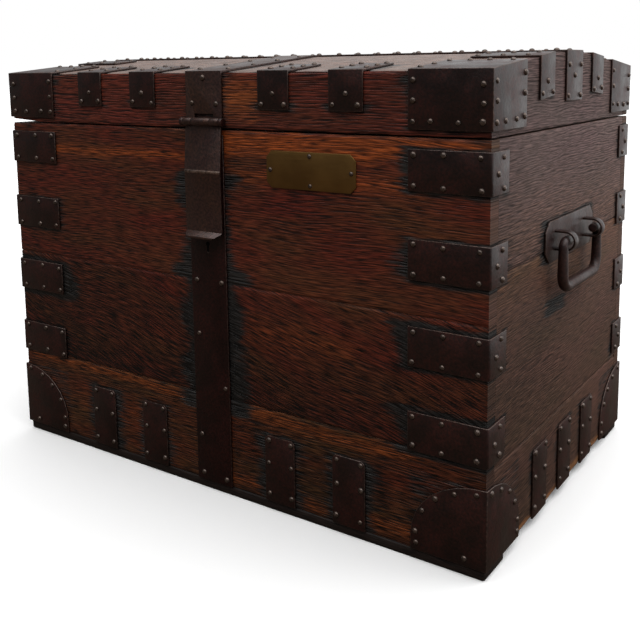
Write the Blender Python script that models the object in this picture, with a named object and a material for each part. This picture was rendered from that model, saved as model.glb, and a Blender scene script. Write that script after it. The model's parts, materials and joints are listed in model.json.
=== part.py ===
"""Iron-bound oak silver chest: boarded body and crowned lid on strap hinges, a hasp that hangs over
the keyhole, a sliding lock bolt and two drop handles. Metres, +Z up, front towards -Y. The origin is
on the floor under the middle of the chest."""

import math

import bmesh
import bpy
from mathutils import Matrix, Vector

# Oak body and lid
BODY_WIDTH = 0.730
BODY_DEPTH = 0.468
BODY_HEIGHT = 0.446
WALL = 0.020
FLOOR = 0.018
RUNNER_HEIGHT = 0.012
RUNNER_DEPTH = 0.050
RUNNER_ROUND = 0.003
LID_GAP = 0.002
LID_EDGE_HEIGHT = 0.065
CROWN_RISE = 0.0188
CROWN_FLAT = 0.088
LID_BOARD = 0.015
LID_REBATE = 0.010
BAIZE = 0.002
LINING_DROP = 0.010

# Iron straps and plates
FIT = 0.0003
STRAP_THICK = 0.0024
BOND = 0.0008
STRAP_WIDTH = 0.0435
CENTRE_STRAP_WIDTH = 0.056
CORNER_REACH = 0.090
WRAP_SIDE_REACH = 0.040
WRAP_COUNT = 4
SIDE_STRAP_COUNT = 3
WRAP_TOP_MARGIN = 0.0115
WRAP_LOW_MARGIN = 0.023
BEND_RADIUS = 0.0030
FOOT_PLATE_REACH = 0.086
FOOT_PLATE_HEIGHT = 0.089
FOOT_PLATE_UPRIGHT = 0.018
BOTTOM_STRAP_HEIGHT = 0.083
STRAP_CLIP = 0.004
LID_PLATE_END_REACH = 0.084
LID_PLATE_MARGIN = 0.006
LID_STRAP_MARGIN = 0.023
LID_STRAP_RETURN = 0.064
END_STRAP_MARGIN = 0.034
END_STRAP_RETURN = 0.080
CROWN_STRAP_MARGIN = 0.028
CENTRE_STRAP_MARGIN = 0.017

# Knuckled hinges and the hasp
PIN_RADIUS = 0.0022
PIN_PLAY = 0.0003
KNUCKLE_WALL = 0.0025
KNUCKLE_PLAY = 0.0004
PIN_HEAD = 0.0045
HINGE_OFFSET = 0.215
HINGE_KNUCKLE = 0.0145
HINGE_BODY_LEAF = 0.150
HINGE_LID_LEAF = 0.052
HASP_AXIS_RISE = 0.0075
HASP_KNUCKLE = 0.0285
HASP_THICK = 0.0024
HASP_UPPER = 0.054
HASP_LOWER = 0.074
HASP_STAND_OFF = 0.0032
HASP_RIDGE = 0.0042
HASP_LIP = 0.011
HASP_LIP_FALL = 0.0065
HASP_LIP_CLIP = 0.010
KNUCKLE_LAP = 0.001
FRONT_STRAP_DROP = 0.006

# Drop handles
HANDLE_HEIGHT = 0.318
HANDLE_PLATE_WIDTH = 0.168
HANDLE_PLATE_HEIGHT = 0.048
HANDLE_PLATE_CLIP = 0.012
HANDLE_STAND_OFF = 0.0125
LUG_SPACING = 0.100
LUG_WIDTH = 0.012
LUG_WALL = 0.0055
BAIL_RADIUS = 0.0055
BAIL_PLAY = 0.0007
BAIL_DROP = 0.054
BAIL_BEND = 0.016
BAIL_STUB_BEND = 0.007

# Box lock
LOCK_WIDTH = 0.090
LOCK_HEIGHT = 0.068
LOCK_DEPTH = 0.022
LOCK_WALL = 0.0025
LOCK_DROP = 0.002
LOCK_ROOM = 0.027
TONGUE_WIDTH = 0.008
TONGUE_DEPTH = 0.010
TONGUE_FLOOR_GAP = 0.002
TONGUE_WALL = 0.002
TONGUE_PLAY = 0.0028
LINK_PLATE_WIDTH = 0.0408
EYE_HEIGHT = 0.010
BOLT_TRAVEL = 0.014
BOLT_CLEARANCE = 0.002
BOLT_LENGTH = 0.018
BOLT_HEIGHT = 0.018
KEYHOLE_RADIUS = 0.0035
KEYHOLE_SLOT = 0.009
KEYHOLE_OFFSET = 0.012

# Name plaque
PLAQUE_WIDTH = 0.120
PLAQUE_HEIGHT = 0.0425
PLAQUE_THICK = 0.0014
PLAQUE_CLIP = 0.007
PLAQUE_DROP = 0.042
PLAQUE_OFFSET = 0.152

# Places that follow from the sizes above
HALF_WIDTH = BODY_WIDTH / 2
HALF_DEPTH = BODY_DEPTH / 2
BODY_TOP = RUNNER_HEIGHT + BODY_HEIGHT
LID_LOW = BODY_TOP + LID_GAP
LID_EDGE = LID_LOW + LID_EDGE_HEIGHT
LID_TOP = LID_EDGE + CROWN_RISE
SLOPE = CROWN_RISE / (HALF_DEPTH - CROWN_FLAT / 2)
SKIN = FIT + STRAP_THICK
KNUCKLE_RADIUS = PIN_RADIUS + PIN_PLAY + KNUCKLE_WALL
HINGE_AXIS = Vector((0, HALF_DEPTH + FIT + KNUCKLE_RADIUS, BODY_TOP + LID_GAP / 2))
HASP_AXIS = Vector((0, -HALF_DEPTH - SKIN - KNUCKLE_RADIUS + KNUCKLE_LAP, LID_LOW + HASP_AXIS_RISE))
LOCK_TOP = BODY_TOP - LOCK_DROP
LOCK_MIDDLE = -HALF_DEPTH + WALL + FIT + LOCK_DEPTH / 2
ROUND_STEPS = 24


def finish(name, colour, roughness, metallic):
    material = bpy.data.materials.new(name)
    material.use_nodes = True
    shader = material.node_tree.nodes["Principled BSDF"]
    shader.inputs["Base Color"].default_value = (*colour, 1)
    shader.inputs["Roughness"].default_value = roughness
    shader.inputs["Metallic"].default_value = metallic
    return material


def pivot(name, place, parent=None):
    """An empty on a joint's axis that carries the pieces that move about it."""
    empty = bpy.data.objects.new(name, None)
    bpy.context.scene.collection.objects.link(empty)
    empty.empty_display_size = 0.03
    empty.location = place
    if parent:
        carry(empty, parent)
    return empty


def carry(obj, parent):
    """Parents without moving: every parent here is only shifted, never turned."""
    obj.parent = parent
    shift = Vector((0, 0, 0))
    while parent:
        shift += parent.location + parent.matrix_parent_inverse.translation
        parent = parent.parent
    obj.matrix_parent_inverse = Matrix.Translation(-shift)


def named(mesh_object, name, material, parent):
    mesh_object.name = name
    mesh_object.data.name = name
    mesh_object.data.materials.clear()
    mesh_object.data.materials.append(material)
    mesh_object.data.shade_smooth()
    mesh_object.data.set_sharp_from_angle(angle=math.radians(35))
    carry(mesh_object, parent)


def from_bmesh(shape):
    bmesh.ops.recalc_face_normals(shape, faces=shape.faces)
    mesh = bpy.data.meshes.new("shape")
    shape.to_mesh(mesh)
    shape.free()
    obj = bpy.data.objects.new("shape", mesh)
    bpy.context.scene.collection.objects.link(obj)
    return obj


def box(low, high):
    shape = bmesh.new()
    size = Vector(high) - Vector(low)
    middle = (Vector(high) + Vector(low)) / 2
    bmesh.ops.create_cube(shape, size=1, matrix=Matrix.Translation(middle) @ Matrix.Diagonal((*size, 1)))
    return from_bmesh(shape)


def prism(outline, axis, low, high):
    """Extrudes a flat outline along X, Y or Z. The outline gives the other two coordinates in order."""
    shape = bmesh.new()
    corners = []
    for first, second in outline:
        place = [first, second]
        place.insert("xyz".index(axis), low)
        corners.append(shape.verts.new(place))
    face = shape.faces.new(corners)
    grown = bmesh.ops.extrude_face_region(shape, geom=[face])
    step = Vector([(high - low) * (axis == each) for each in "xyz"])
    moved = [each for each in grown["geom"] if isinstance(each, bmesh.types.BMVert)]
    bmesh.ops.translate(shape, verts=moved, vec=step)
    return from_bmesh(shape)


def rod(radius, axis, centre, low, high, steps=ROUND_STEPS):
    """A round bar along X or Y. The centre gives the other two coordinates in order."""
    turn = [2 * math.pi * (step + 0.5) / steps for step in range(steps)]
    outline = [(centre[0] + radius * math.cos(a), centre[1] + radius * math.sin(a)) for a in turn]
    return prism(outline, axis, low, high)


def combine(first, operation, *others):
    """Joins, cuts or crosses solids and leaves one plain mesh."""
    for other in others:
        modifier = first.modifiers.new(operation.lower(), "BOOLEAN")
        modifier.operation = operation
        modifier.solver = "EXACT"
        modifier.object = other
    bpy.context.view_layer.update()
    result = bpy.data.meshes.new_from_object(first.evaluated_get(bpy.context.evaluated_depsgraph_get()))
    first.modifiers.clear()
    first.data = result
    for other in others:
        bpy.data.objects.remove(other)
    return first


def clipped(width, height, clip, middle=(0, 0)):
    """A rectangle with its four corners cut at 45 degrees."""
    across, up = width / 2, height / 2
    points = [(-across + clip, -up), (across - clip, -up), (across, -up + clip), (across, up - clip)]
    points += [(-x, -z) for x, z in points]
    return [(middle[0] + x, middle[1] + z) for x, z in points]


def spread(low, high, widths):
    """Middles of strips of these widths, with equal gaps between them and to both ends."""
    gap = (high - low - sum(widths)) / (len(widths) + 1)
    middles = []
    edge = low
    for width in widths:
        middles.append(edge + gap + width / 2)
        edge += gap + width
    return middles


def lid_height(depth):
    """Height of the lid's top at this depth: a flat crown between two slopes."""
    return LID_TOP - SLOPE * max(abs(depth) - CROWN_FLAT / 2, 0)


def crowned(low, high, top, bottom):
    """Outline of a layer of the lid's top between two depths, from top above its surface to bottom below."""
    bends = [depth for depth in (-CROWN_FLAT / 2, CROWN_FLAT / 2) if low < depth < high]
    depths = [low, *bends, high]
    upper = [(depth, lid_height(depth) + top) for depth in depths]
    return upper + [(depth, lid_height(depth) - bottom) for depth in reversed(depths)]


def lid_outline(top, front, back, low):
    """The lid seen from its end, grown by these amounts, from the height low up to the crown."""
    front_edge, back_edge = -HALF_DEPTH - front, HALF_DEPTH + back
    return [(front_edge, low), *crowned(front_edge, back_edge, top, 0)[:4], (back_edge, low)]


def lid_iron(low, high, front=FIT, ends=FIT):
    """A strap or plate bent over the lid, inside the box from low to high. A negative gap beds it in wood."""
    deep = LID_LOW - WALL
    outer_half = HALF_WIDTH + SKIN
    inner_half = HALF_WIDTH + ends
    iron = prism(lid_outline(SKIN, SKIN, SKIN, LID_LOW), "x", -outer_half, outer_half)
    inside = prism(lid_outline(FIT, front, FIT, deep), "x", -inner_half, inner_half)
    return combine(combine(iron, "INTERSECT", box(low, high)), "DIFFERENCE", inside)


def build_runners(oak, chest):
    for name, side in (("runner_front", -1), ("runner_back", 1)):
        edges = sorted((side * HALF_DEPTH, side * (HALF_DEPTH - RUNNER_DEPTH)))
        inner = HALF_WIDTH - RUNNER_ROUND
        curve = [math.pi / 2 * step / 4 for step in range(5)]
        corner = [(inner + RUNNER_ROUND * math.sin(a), RUNNER_ROUND * (1 - math.cos(a))) for a in curve]
        outline = corner + [(HALF_WIDTH, RUNNER_HEIGHT - FIT), (-HALF_WIDTH, RUNNER_HEIGHT - FIT)]
        outline += [(-x, z) for x, z in reversed(corner)]
        named(prism(outline, "y", *edges), name, oak, chest)


def keyhole(low, high):
    """A round hole with a slot below it, through everything from low to high along Y."""
    place = (KEYHOLE_OFFSET, LOCK_TOP - LOCK_WALL - LOCK_ROOM / 2)
    hole = rod(KEYHOLE_RADIUS, "y", place, low, high, 12)
    across = KEYHOLE_RADIUS / 2
    slot = box((place[0] - across, low, place[1] - KEYHOLE_SLOT), (place[0] + across, high, place[1]))
    return combine(hole, "UNION", slot)


def front_strap_middles():
    """Middles of the small straps on each side of the centre strap, on the lid and at the bottom alike."""
    right = spread(CENTRE_STRAP_WIDTH / 2, HALF_WIDTH - CORNER_REACH, [STRAP_WIDTH] * 2)
    return [-x for x in reversed(right)] + right


def bottom_strap(middle):
    """Outline of an upright strap that stands on the bottom edge, with its top corners clipped."""
    across = STRAP_WIDTH / 2
    low, high = RUNNER_HEIGHT, RUNNER_HEIGHT + BOTTOM_STRAP_HEIGHT
    return [
        (middle - across, low),
        (middle + across, low),
        (middle + across, high - STRAP_CLIP),
        (middle + across - STRAP_CLIP, high),
        (middle - across + STRAP_CLIP, high),
        (middle - across, high - STRAP_CLIP),
    ]


def build_body(oak, chest):
    front = box((-HALF_WIDTH, -HALF_DEPTH, RUNNER_HEIGHT), (HALF_WIDTH, -HALF_DEPTH + WALL, BODY_TOP))
    straps = []
    for middle in front_strap_middles():
        straps.append(prism(bottom_strap(middle), "y", -HALF_DEPTH - SKIN, -HALF_DEPTH + BOND))
    front = combine(front, "UNION", *straps)
    front = combine(front, "DIFFERENCE", keyhole(-HALF_DEPTH - WALL, -HALF_DEPTH + 2 * WALL))
    named(front, "body_front", oak, chest)

    back = box((-HALF_WIDTH, HALF_DEPTH - WALL, RUNNER_HEIGHT), (HALF_WIDTH, HALF_DEPTH, BODY_TOP))
    named(back, "body_back", oak, chest)

    inner_depth = HALF_DEPTH - WALL - FIT
    clear = HALF_DEPTH - FOOT_PLATE_REACH
    for name, side in (("body_left", -1), ("body_right", 1)):
        faces = sorted((side * HALF_WIDTH, side * (HALF_WIDTH - WALL)))
        board = box((faces[0], -inner_depth, RUNNER_HEIGHT), (faces[1], inner_depth, BODY_TOP))
        depth = sorted((side * (HALF_WIDTH + SKIN), side * (HALF_WIDTH - BOND)))
        middles = spread(-clear, clear, [STRAP_WIDTH] * SIDE_STRAP_COUNT)
        straps = [prism(bottom_strap(middle), "x", *depth) for middle in middles]
        named(combine(board, "UNION", *straps), name, oak, chest)

    inner_width = HALF_WIDTH - WALL - FIT
    floor_top = RUNNER_HEIGHT + FLOOR
    floor = box((-inner_width, -inner_depth, RUNNER_HEIGHT), (inner_width, inner_depth, floor_top))
    named(floor, "body_floor", oak, chest)


def lid_bed():
    """The room that the lid's frame leaves for its top boards, with their clearance."""
    half_width = HALF_WIDTH - WALL + LID_REBATE
    half_depth = HALF_DEPTH - WALL + LID_REBATE
    return prism(crowned(-half_depth, half_depth, FIT, LID_BOARD + FIT), "x", -half_width, half_width)


def build_lid(oak, lid):
    half_width = HALF_WIDTH - WALL + LID_REBATE - FIT
    half_depth = HALF_DEPTH - WALL + LID_REBATE - FIT
    crown = CROWN_FLAT / 2
    joint = FIT / 2
    depths = {
        "front": (-half_depth, -crown - joint),
        "crown": (-crown + joint, crown - joint),
        "back": (crown + joint, half_depth),
    }
    for name, (low, high) in depths.items():
        board = prism(crowned(low, high, 0, LID_BOARD), "x", -half_width, half_width)
        named(board, f"lid_board_{name}", oak, lid)

    inner = HALF_DEPTH - WALL
    for name, side in (("lid_front", -1), ("lid_back", 1)):
        edges = (side * HALF_DEPTH, side * inner)
        rail = [(y, lid_height(y)) for y in edges] + [(y, LID_LOW) for y in reversed(edges)]
        board = combine(prism(rail, "x", -HALF_WIDTH, HALF_WIDTH), "DIFFERENCE", lid_bed())
        if side < 0:
            board = combine(board, "UNION", *lid_front_straps())
        named(board, name, oak, lid)

    between = inner - FIT
    profile = [(-between, LID_LOW), *crowned(-between, between, 0, 0)[:4], (between, LID_LOW)]
    for name, side in (("lid_left", -1), ("lid_right", 1)):
        faces = sorted((side * HALF_WIDTH, side * (HALF_WIDTH - WALL)))
        board = combine(prism(profile, "x", *faces), "DIFFERENCE", lid_bed())
        named(combine(board, "UNION", *lid_end_straps(side)), name, oak, lid)


def lid_front_straps():
    """Small straps up the lid's front edge that turn back over its top."""
    straps = []
    for middle in front_strap_middles():
        low = (middle - STRAP_WIDTH / 2, -HALF_DEPTH - WALL, LID_LOW + LID_STRAP_MARGIN)
        high = (middle + STRAP_WIDTH / 2, -HALF_DEPTH + LID_STRAP_RETURN, LID_TOP + WALL)
        straps.append(lid_iron(low, high, front=-BOND))
    return straps


def end_strap_middle():
    clear = HALF_DEPTH - LID_PLATE_END_REACH
    return spread(-clear, clear, [STRAP_WIDTH, CENTRE_STRAP_WIDTH, STRAP_WIDTH])[2]


def lid_end_straps(side):
    """Small straps up one end of the lid, in front of and behind the crown strap."""
    straps = []
    for middle in (-end_strap_middle(), end_strap_middle()):
        inner, outer = side * (HALF_WIDTH - END_STRAP_RETURN), side * (HALF_WIDTH + WALL)
        low = (min(inner, outer), middle - STRAP_WIDTH / 2, LID_LOW + END_STRAP_MARGIN)
        high = (max(inner, outer), middle + STRAP_WIDTH / 2, LID_TOP + WALL)
        straps.append(lid_iron(low, high, ends=-BOND))
    return straps


def build_lid_iron(iron, lid):
    for end, turn in (("front", -1), ("back", 1)):
        for hand, side in (("left", -1), ("right", 1)):
            xs = sorted((side * (HALF_WIDTH - CORNER_REACH), side * (HALF_WIDTH + WALL)))
            ys = sorted((turn * (HALF_DEPTH - LID_PLATE_END_REACH), turn * (HALF_DEPTH + WALL)))
            low = (xs[0], ys[0], LID_LOW + LID_PLATE_MARGIN)
            high = (xs[1], ys[1], LID_TOP + WALL)
            named(lid_iron(low, high), f"lid_corner_{end}_{hand}", iron, lid)

    across = CENTRE_STRAP_WIDTH / 2
    for hand, side in (("left", -1), ("right", 1)):
        xs = sorted((side * (across + FIT), side * (HALF_WIDTH + WALL)))
        low = (xs[0], -across, LID_LOW + CROWN_STRAP_MARGIN)
        named(lid_iron(low, (xs[1], across, LID_TOP + WALL)), f"crown_strap_{hand}", iron, lid)


def knuckle(low, high, axis):
    return rod(KNUCKLE_RADIUS, "x", (axis.y, axis.z), low, high)


def bore(half, axis):
    return rod(PIN_RADIUS + PIN_PLAY, "x", (axis.y, axis.z), -half, half)


def build_hasp(iron, lid, hasp_pivot):
    """The lid's centre strap ends in two knuckles, and the hasp hangs from a third between them."""
    across = CENTRE_STRAP_WIDTH / 2
    inner = HASP_KNUCKLE / 2 + KNUCKLE_PLAY
    reach = HALF_DEPTH + WALL
    strap = lid_iron((-across, -reach, HASP_AXIS.z), (across, reach, LID_TOP + WALL))
    slot = box((-inner, -reach, LID_LOW - WALL), (inner, -HALF_DEPTH, LID_LOW + CENTRE_STRAP_MARGIN))
    strap = combine(strap, "DIFFERENCE", slot)
    for side in (-1, 1):
        strap = combine(strap, "UNION", knuckle(*sorted((side * inner, side * across)), HASP_AXIS))
    strap = combine(strap, "DIFFERENCE", bore(2 * across, HASP_AXIS))
    named(strap, "lid_centre_strap", iron, lid)

    shaft = rod(PIN_RADIUS, "x", (HASP_AXIS.y, HASP_AXIS.z), -across - PIN_HEAD / 2, across + PIN_HEAD / 2)
    heads = []
    for side in (-1, 1):
        xs = sorted((side * (across + KNUCKLE_PLAY), side * (across + KNUCKLE_PLAY + PIN_HEAD)))
        heads.append(knuckle(*xs, HASP_AXIS))
    named(combine(shaft, "UNION", *heads), "hasp_pin", iron, lid)

    back = -HALF_DEPTH - SKIN - FIT
    top = HASP_AXIS.z - KNUCKLE_RADIUS - KNUCKLE_PLAY
    ridge = (back - HASP_RIDGE, top - HASP_UPPER)
    foot = (back - HASP_STAND_OFF, ridge[1] - HASP_LOWER)
    tip = (foot[0] - HASP_LIP, foot[1] - HASP_LIP_FALL)
    inside = [(back, HASP_AXIS.z - PIN_RADIUS), (back, top), ridge, foot]
    outside = [(y - HASP_THICK, z) for y, z in inside[:3]]
    outside.append((foot[0] - HASP_THICK, foot[1] + HASP_THICK / 2))
    lip = [tip, (tip[0], tip[1] + HASP_THICK)]
    flap = prism(inside + lip + outside[::-1], "x", -across, across)
    over = HASP_AXIS.y - WALL
    for side in (-1, 1):
        xs = sorted((side * (HASP_KNUCKLE / 2), side * (across + WALL)))
        shoulder = box((xs[0], over, top), (xs[1], -HALF_DEPTH, LID_EDGE))
        slant = (across - 2 * HASP_LIP_CLIP, foot[1] - 2 * HASP_LIP_FALL)
        corner = [(across, foot[1]), (across + WALL, foot[1]), (across + WALL, slant[1]), slant]
        clip = prism([(side * x, z) for x, z in corner], "y", over, -HALF_DEPTH)
        flap = combine(flap, "DIFFERENCE", shoulder, clip)
    barrel = knuckle(-HASP_KNUCKLE / 2, HASP_KNUCKLE / 2, HASP_AXIS)
    flap = combine(combine(flap, "UNION", barrel), "DIFFERENCE", bore(across, HASP_AXIS))
    named(flap, "hasp", iron, hasp_pivot)


def corner_wrap(hand, end, middle):
    """An L-shaped strap round an upright edge: long leg on the front or back, short leg on the side."""
    bend = [math.pi / 2 * step / 3 for step in range(4)]
    centre = (HALF_WIDTH + SKIN - BEND_RADIUS, HALF_DEPTH + SKIN - BEND_RADIUS)
    arc = [(centre[0] + BEND_RADIUS * math.cos(a), centre[1] + BEND_RADIUS * math.sin(a)) for a in bend]
    outline = [
        (HALF_WIDTH + FIT, HALF_DEPTH + FIT),
        (HALF_WIDTH + FIT, HALF_DEPTH - WRAP_SIDE_REACH),
        (HALF_WIDTH + SKIN, HALF_DEPTH - WRAP_SIDE_REACH),
        *arc,
        (HALF_WIDTH - CORNER_REACH, HALF_DEPTH + SKIN),
        (HALF_WIDTH - CORNER_REACH, HALF_DEPTH + FIT),
    ]
    turned = [(hand * x, end * y) for x, y in outline]
    return prism(turned, "z", middle - STRAP_WIDTH / 2, middle + STRAP_WIDTH / 2)


def foot_plate(hand, end):
    """A sheet folded round a bottom corner, cut to a quarter round on each side of the fold."""
    steps = 8
    rise = FOOT_PLATE_HEIGHT - FOOT_PLATE_UPRIGHT
    shape = bmesh.new()
    rings = []
    for step in range(-steps, steps + 1):
        turn = math.pi / 2 * abs(step) / steps
        along = math.copysign(FOOT_PLATE_REACH * math.sin(turn), step)
        top = RUNNER_HEIGHT + FOOT_PLATE_UPRIGHT + rise * math.cos(turn)
        ring = []
        for gap in (SKIN, FIT):
            x = HALF_WIDTH + gap - max(-along, 0) - (gap if step < 0 else 0)
            y = HALF_DEPTH + gap - max(along, 0) - (gap if step > 0 else 0)
            heights = (RUNNER_HEIGHT, top) if gap == SKIN else (top, RUNNER_HEIGHT)
            ring += [shape.verts.new((hand * x, end * y, z)) for z in heights]
        rings.append(ring)
    for near, far in zip(rings, rings[1:]):
        for index in range(4):
            following = (index + 1) % 4
            shape.faces.new((near[index], near[following], far[following], far[index]))
    shape.faces.new(rings[0])
    shape.faces.new(rings[-1])
    return from_bmesh(shape)


def build_body_iron(iron, chest):
    half = STRAP_WIDTH / 2
    lowest = RUNNER_HEIGHT + FOOT_PLATE_HEIGHT + WRAP_LOW_MARGIN + half
    highest = BODY_TOP - WRAP_TOP_MARGIN - half
    for end, turn in (("front", -1), ("back", 1)):
        for hand, side in (("left", -1), ("right", 1)):
            named(foot_plate(side, turn), f"foot_plate_{end}_{hand}", iron, chest)
            for step in range(WRAP_COUNT):
                middle = highest + (lowest - highest) * step / (WRAP_COUNT - 1)
                wrap = corner_wrap(side, turn, middle)
                named(wrap, f"corner_strap_{end}_{hand}_{step + 1}", iron, chest)

    across = CENTRE_STRAP_WIDTH / 2
    low = (-across, -HALF_DEPTH - SKIN, RUNNER_HEIGHT)
    strap = box(low, (across, -HALF_DEPTH - FIT, BODY_TOP - FRONT_STRAP_DROP))
    strap = combine(strap, "DIFFERENCE", keyhole(-HALF_DEPTH - WALL, -HALF_DEPTH + WALL))
    named(strap, "front_centre_strap", iron, chest)


def hinge_leaf(middle, length, spans, gaps):
    """A strap leaf on the back, up or down from the hinge line, with knuckles over the spans of its width."""
    half = STRAP_WIDTH / 2
    clear = math.copysign(KNUCKLE_RADIUS + KNUCKLE_PLAY, length)
    heights = sorted((HINGE_AXIS.z, HINGE_AXIS.z + clear + length))
    leaf = box((middle - half, HALF_DEPTH + FIT, heights[0]), (middle + half, HALF_DEPTH + SKIN, heights[1]))
    notch = sorted((HINGE_AXIS.z - clear, HINGE_AXIS.z + clear))
    for start, stop in gaps:
        room = box((middle + start, HALF_DEPTH, notch[0]), (middle + stop, HALF_DEPTH + WALL, notch[1]))
        leaf = combine(leaf, "DIFFERENCE", room)
    for start, stop in spans:
        leaf = combine(leaf, "UNION", knuckle(middle + start, middle + stop, HINGE_AXIS))
    return combine(leaf, "DIFFERENCE", bore(HALF_WIDTH, HINGE_AXIS))


def build_hinges(iron, chest, lid):
    half = STRAP_WIDTH / 2
    centre = HINGE_KNUCKLE / 2
    apart = centre + KNUCKLE_PLAY
    beyond = half + WALL
    for hand, side in (("left", -1), ("right", 1)):
        middle = side * HINGE_OFFSET
        leaf = hinge_leaf(middle, -HINGE_BODY_LEAF, [(-half, -apart), (apart, half)], [(-apart, apart)])
        named(leaf, f"hinge_body_leaf_{hand}", iron, chest)
        leaf = hinge_leaf(middle, HINGE_LID_LEAF, [(-centre, centre)], [(-beyond, -centre), (centre, beyond)])
        named(leaf, f"hinge_lid_leaf_{hand}", iron, lid)
        place = (HINGE_AXIS.y, HINGE_AXIS.z)
        shaft = rod(PIN_RADIUS, "x", place, middle - half, middle + half)
        named(shaft, f"hinge_pin_{hand}", iron, chest)


def bail_axis(side):
    height = RUNNER_HEIGHT + HANDLE_HEIGHT
    return Vector((side * (HALF_WIDTH + SKIN + HANDLE_STAND_OFF), 0, height))


def handle_plate(side):
    """Back plate with two half-round lugs that hold the bail's ends."""
    axis = bail_axis(side)
    faces = sorted((side * (HALF_WIDTH + FIT), side * (HALF_WIDTH + SKIN)))
    outline = clipped(HANDLE_PLATE_WIDTH, HANDLE_PLATE_HEIGHT, HANDLE_PLATE_CLIP, (0, axis.z))
    plate = prism(outline, "x", *faces)
    hole = BAIL_RADIUS + BAIL_PLAY
    outer = hole + LUG_WALL
    root = side * (HALF_WIDTH + FIT + STRAP_THICK / 2)
    turns = [math.pi * (step / 12 - 0.5) for step in range(13)]
    lug = [(axis.x + side * outer * math.cos(a), axis.z + outer * math.sin(a)) for a in turns]
    lug += [(root, axis.z + outer), (root, axis.z - outer)]
    for turn in (-1, 1):
        middle = turn * LUG_SPACING / 2
        plate = combine(plate, "UNION", prism(lug, "y", middle - LUG_WIDTH / 2, middle + LUG_WIDTH / 2))
    return combine(plate, "DIFFERENCE", rod(hole, "y", (axis.x, axis.z), -LUG_SPACING, LUG_SPACING))


def bend_points(corner, before, after, radius, steps=5):
    """Points of an arc that rounds a square corner between two unit directions."""
    start = corner - before * radius
    centre = start + after * radius
    turns = [math.pi / 2 * step / steps for step in range(steps + 1)]
    return [centre + radius * (before * math.sin(a) - after * math.cos(a)) for a in turns]


def bail(side):
    """A round bar bent to a drop handle: both ends turn in through the lugs."""
    axis = bail_axis(side)
    arm = LUG_SPACING / 2 + LUG_WIDTH / 2 + KNUCKLE_PLAY + BAIL_RADIUS
    tip = LUG_SPACING / 2 - LUG_WIDTH / 2 - KNUCKLE_PLAY
    out, down = Vector((0, 1, 0)), Vector((0, 0, -1))
    half = [Vector((axis.x, tip, axis.z))]
    half += bend_points(Vector((axis.x, arm, axis.z)), out, down, BAIL_STUB_BEND)
    half += bend_points(Vector((axis.x, arm, axis.z - BAIL_DROP)), down, -out, BAIL_BEND)
    points = half + [Vector((p.x, -p.y, p.z)) for p in reversed(half)]
    curve = bpy.data.curves.new("bail", "CURVE")
    curve.dimensions = "3D"
    spline = curve.splines.new("POLY")
    spline.points.add(len(points) - 1)
    for point, place in zip(spline.points, points):
        point.co = (*place, 1)
    curve.bevel_depth = BAIL_RADIUS
    curve.bevel_resolution = 4
    curve.use_fill_caps = True
    guide = bpy.data.objects.new("bail", curve)
    bpy.context.scene.collection.objects.link(guide)
    bpy.context.view_layer.update()
    mesh = bpy.data.meshes.new_from_object(guide.evaluated_get(bpy.context.evaluated_depsgraph_get()))
    bpy.data.objects.remove(guide)
    shape = bmesh.new()
    shape.from_mesh(mesh)
    bmesh.ops.remove_doubles(shape, verts=shape.verts, dist=1e-6)
    return from_bmesh(shape)


def build_handles(iron, chest, bail_pivots):
    for hand, side in (("left", -1), ("right", 1)):
        named(handle_plate(side), f"handle_plate_{hand}", iron, chest)
        named(bail(side), f"bail_{hand}", iron, bail_pivots[hand])


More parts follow.
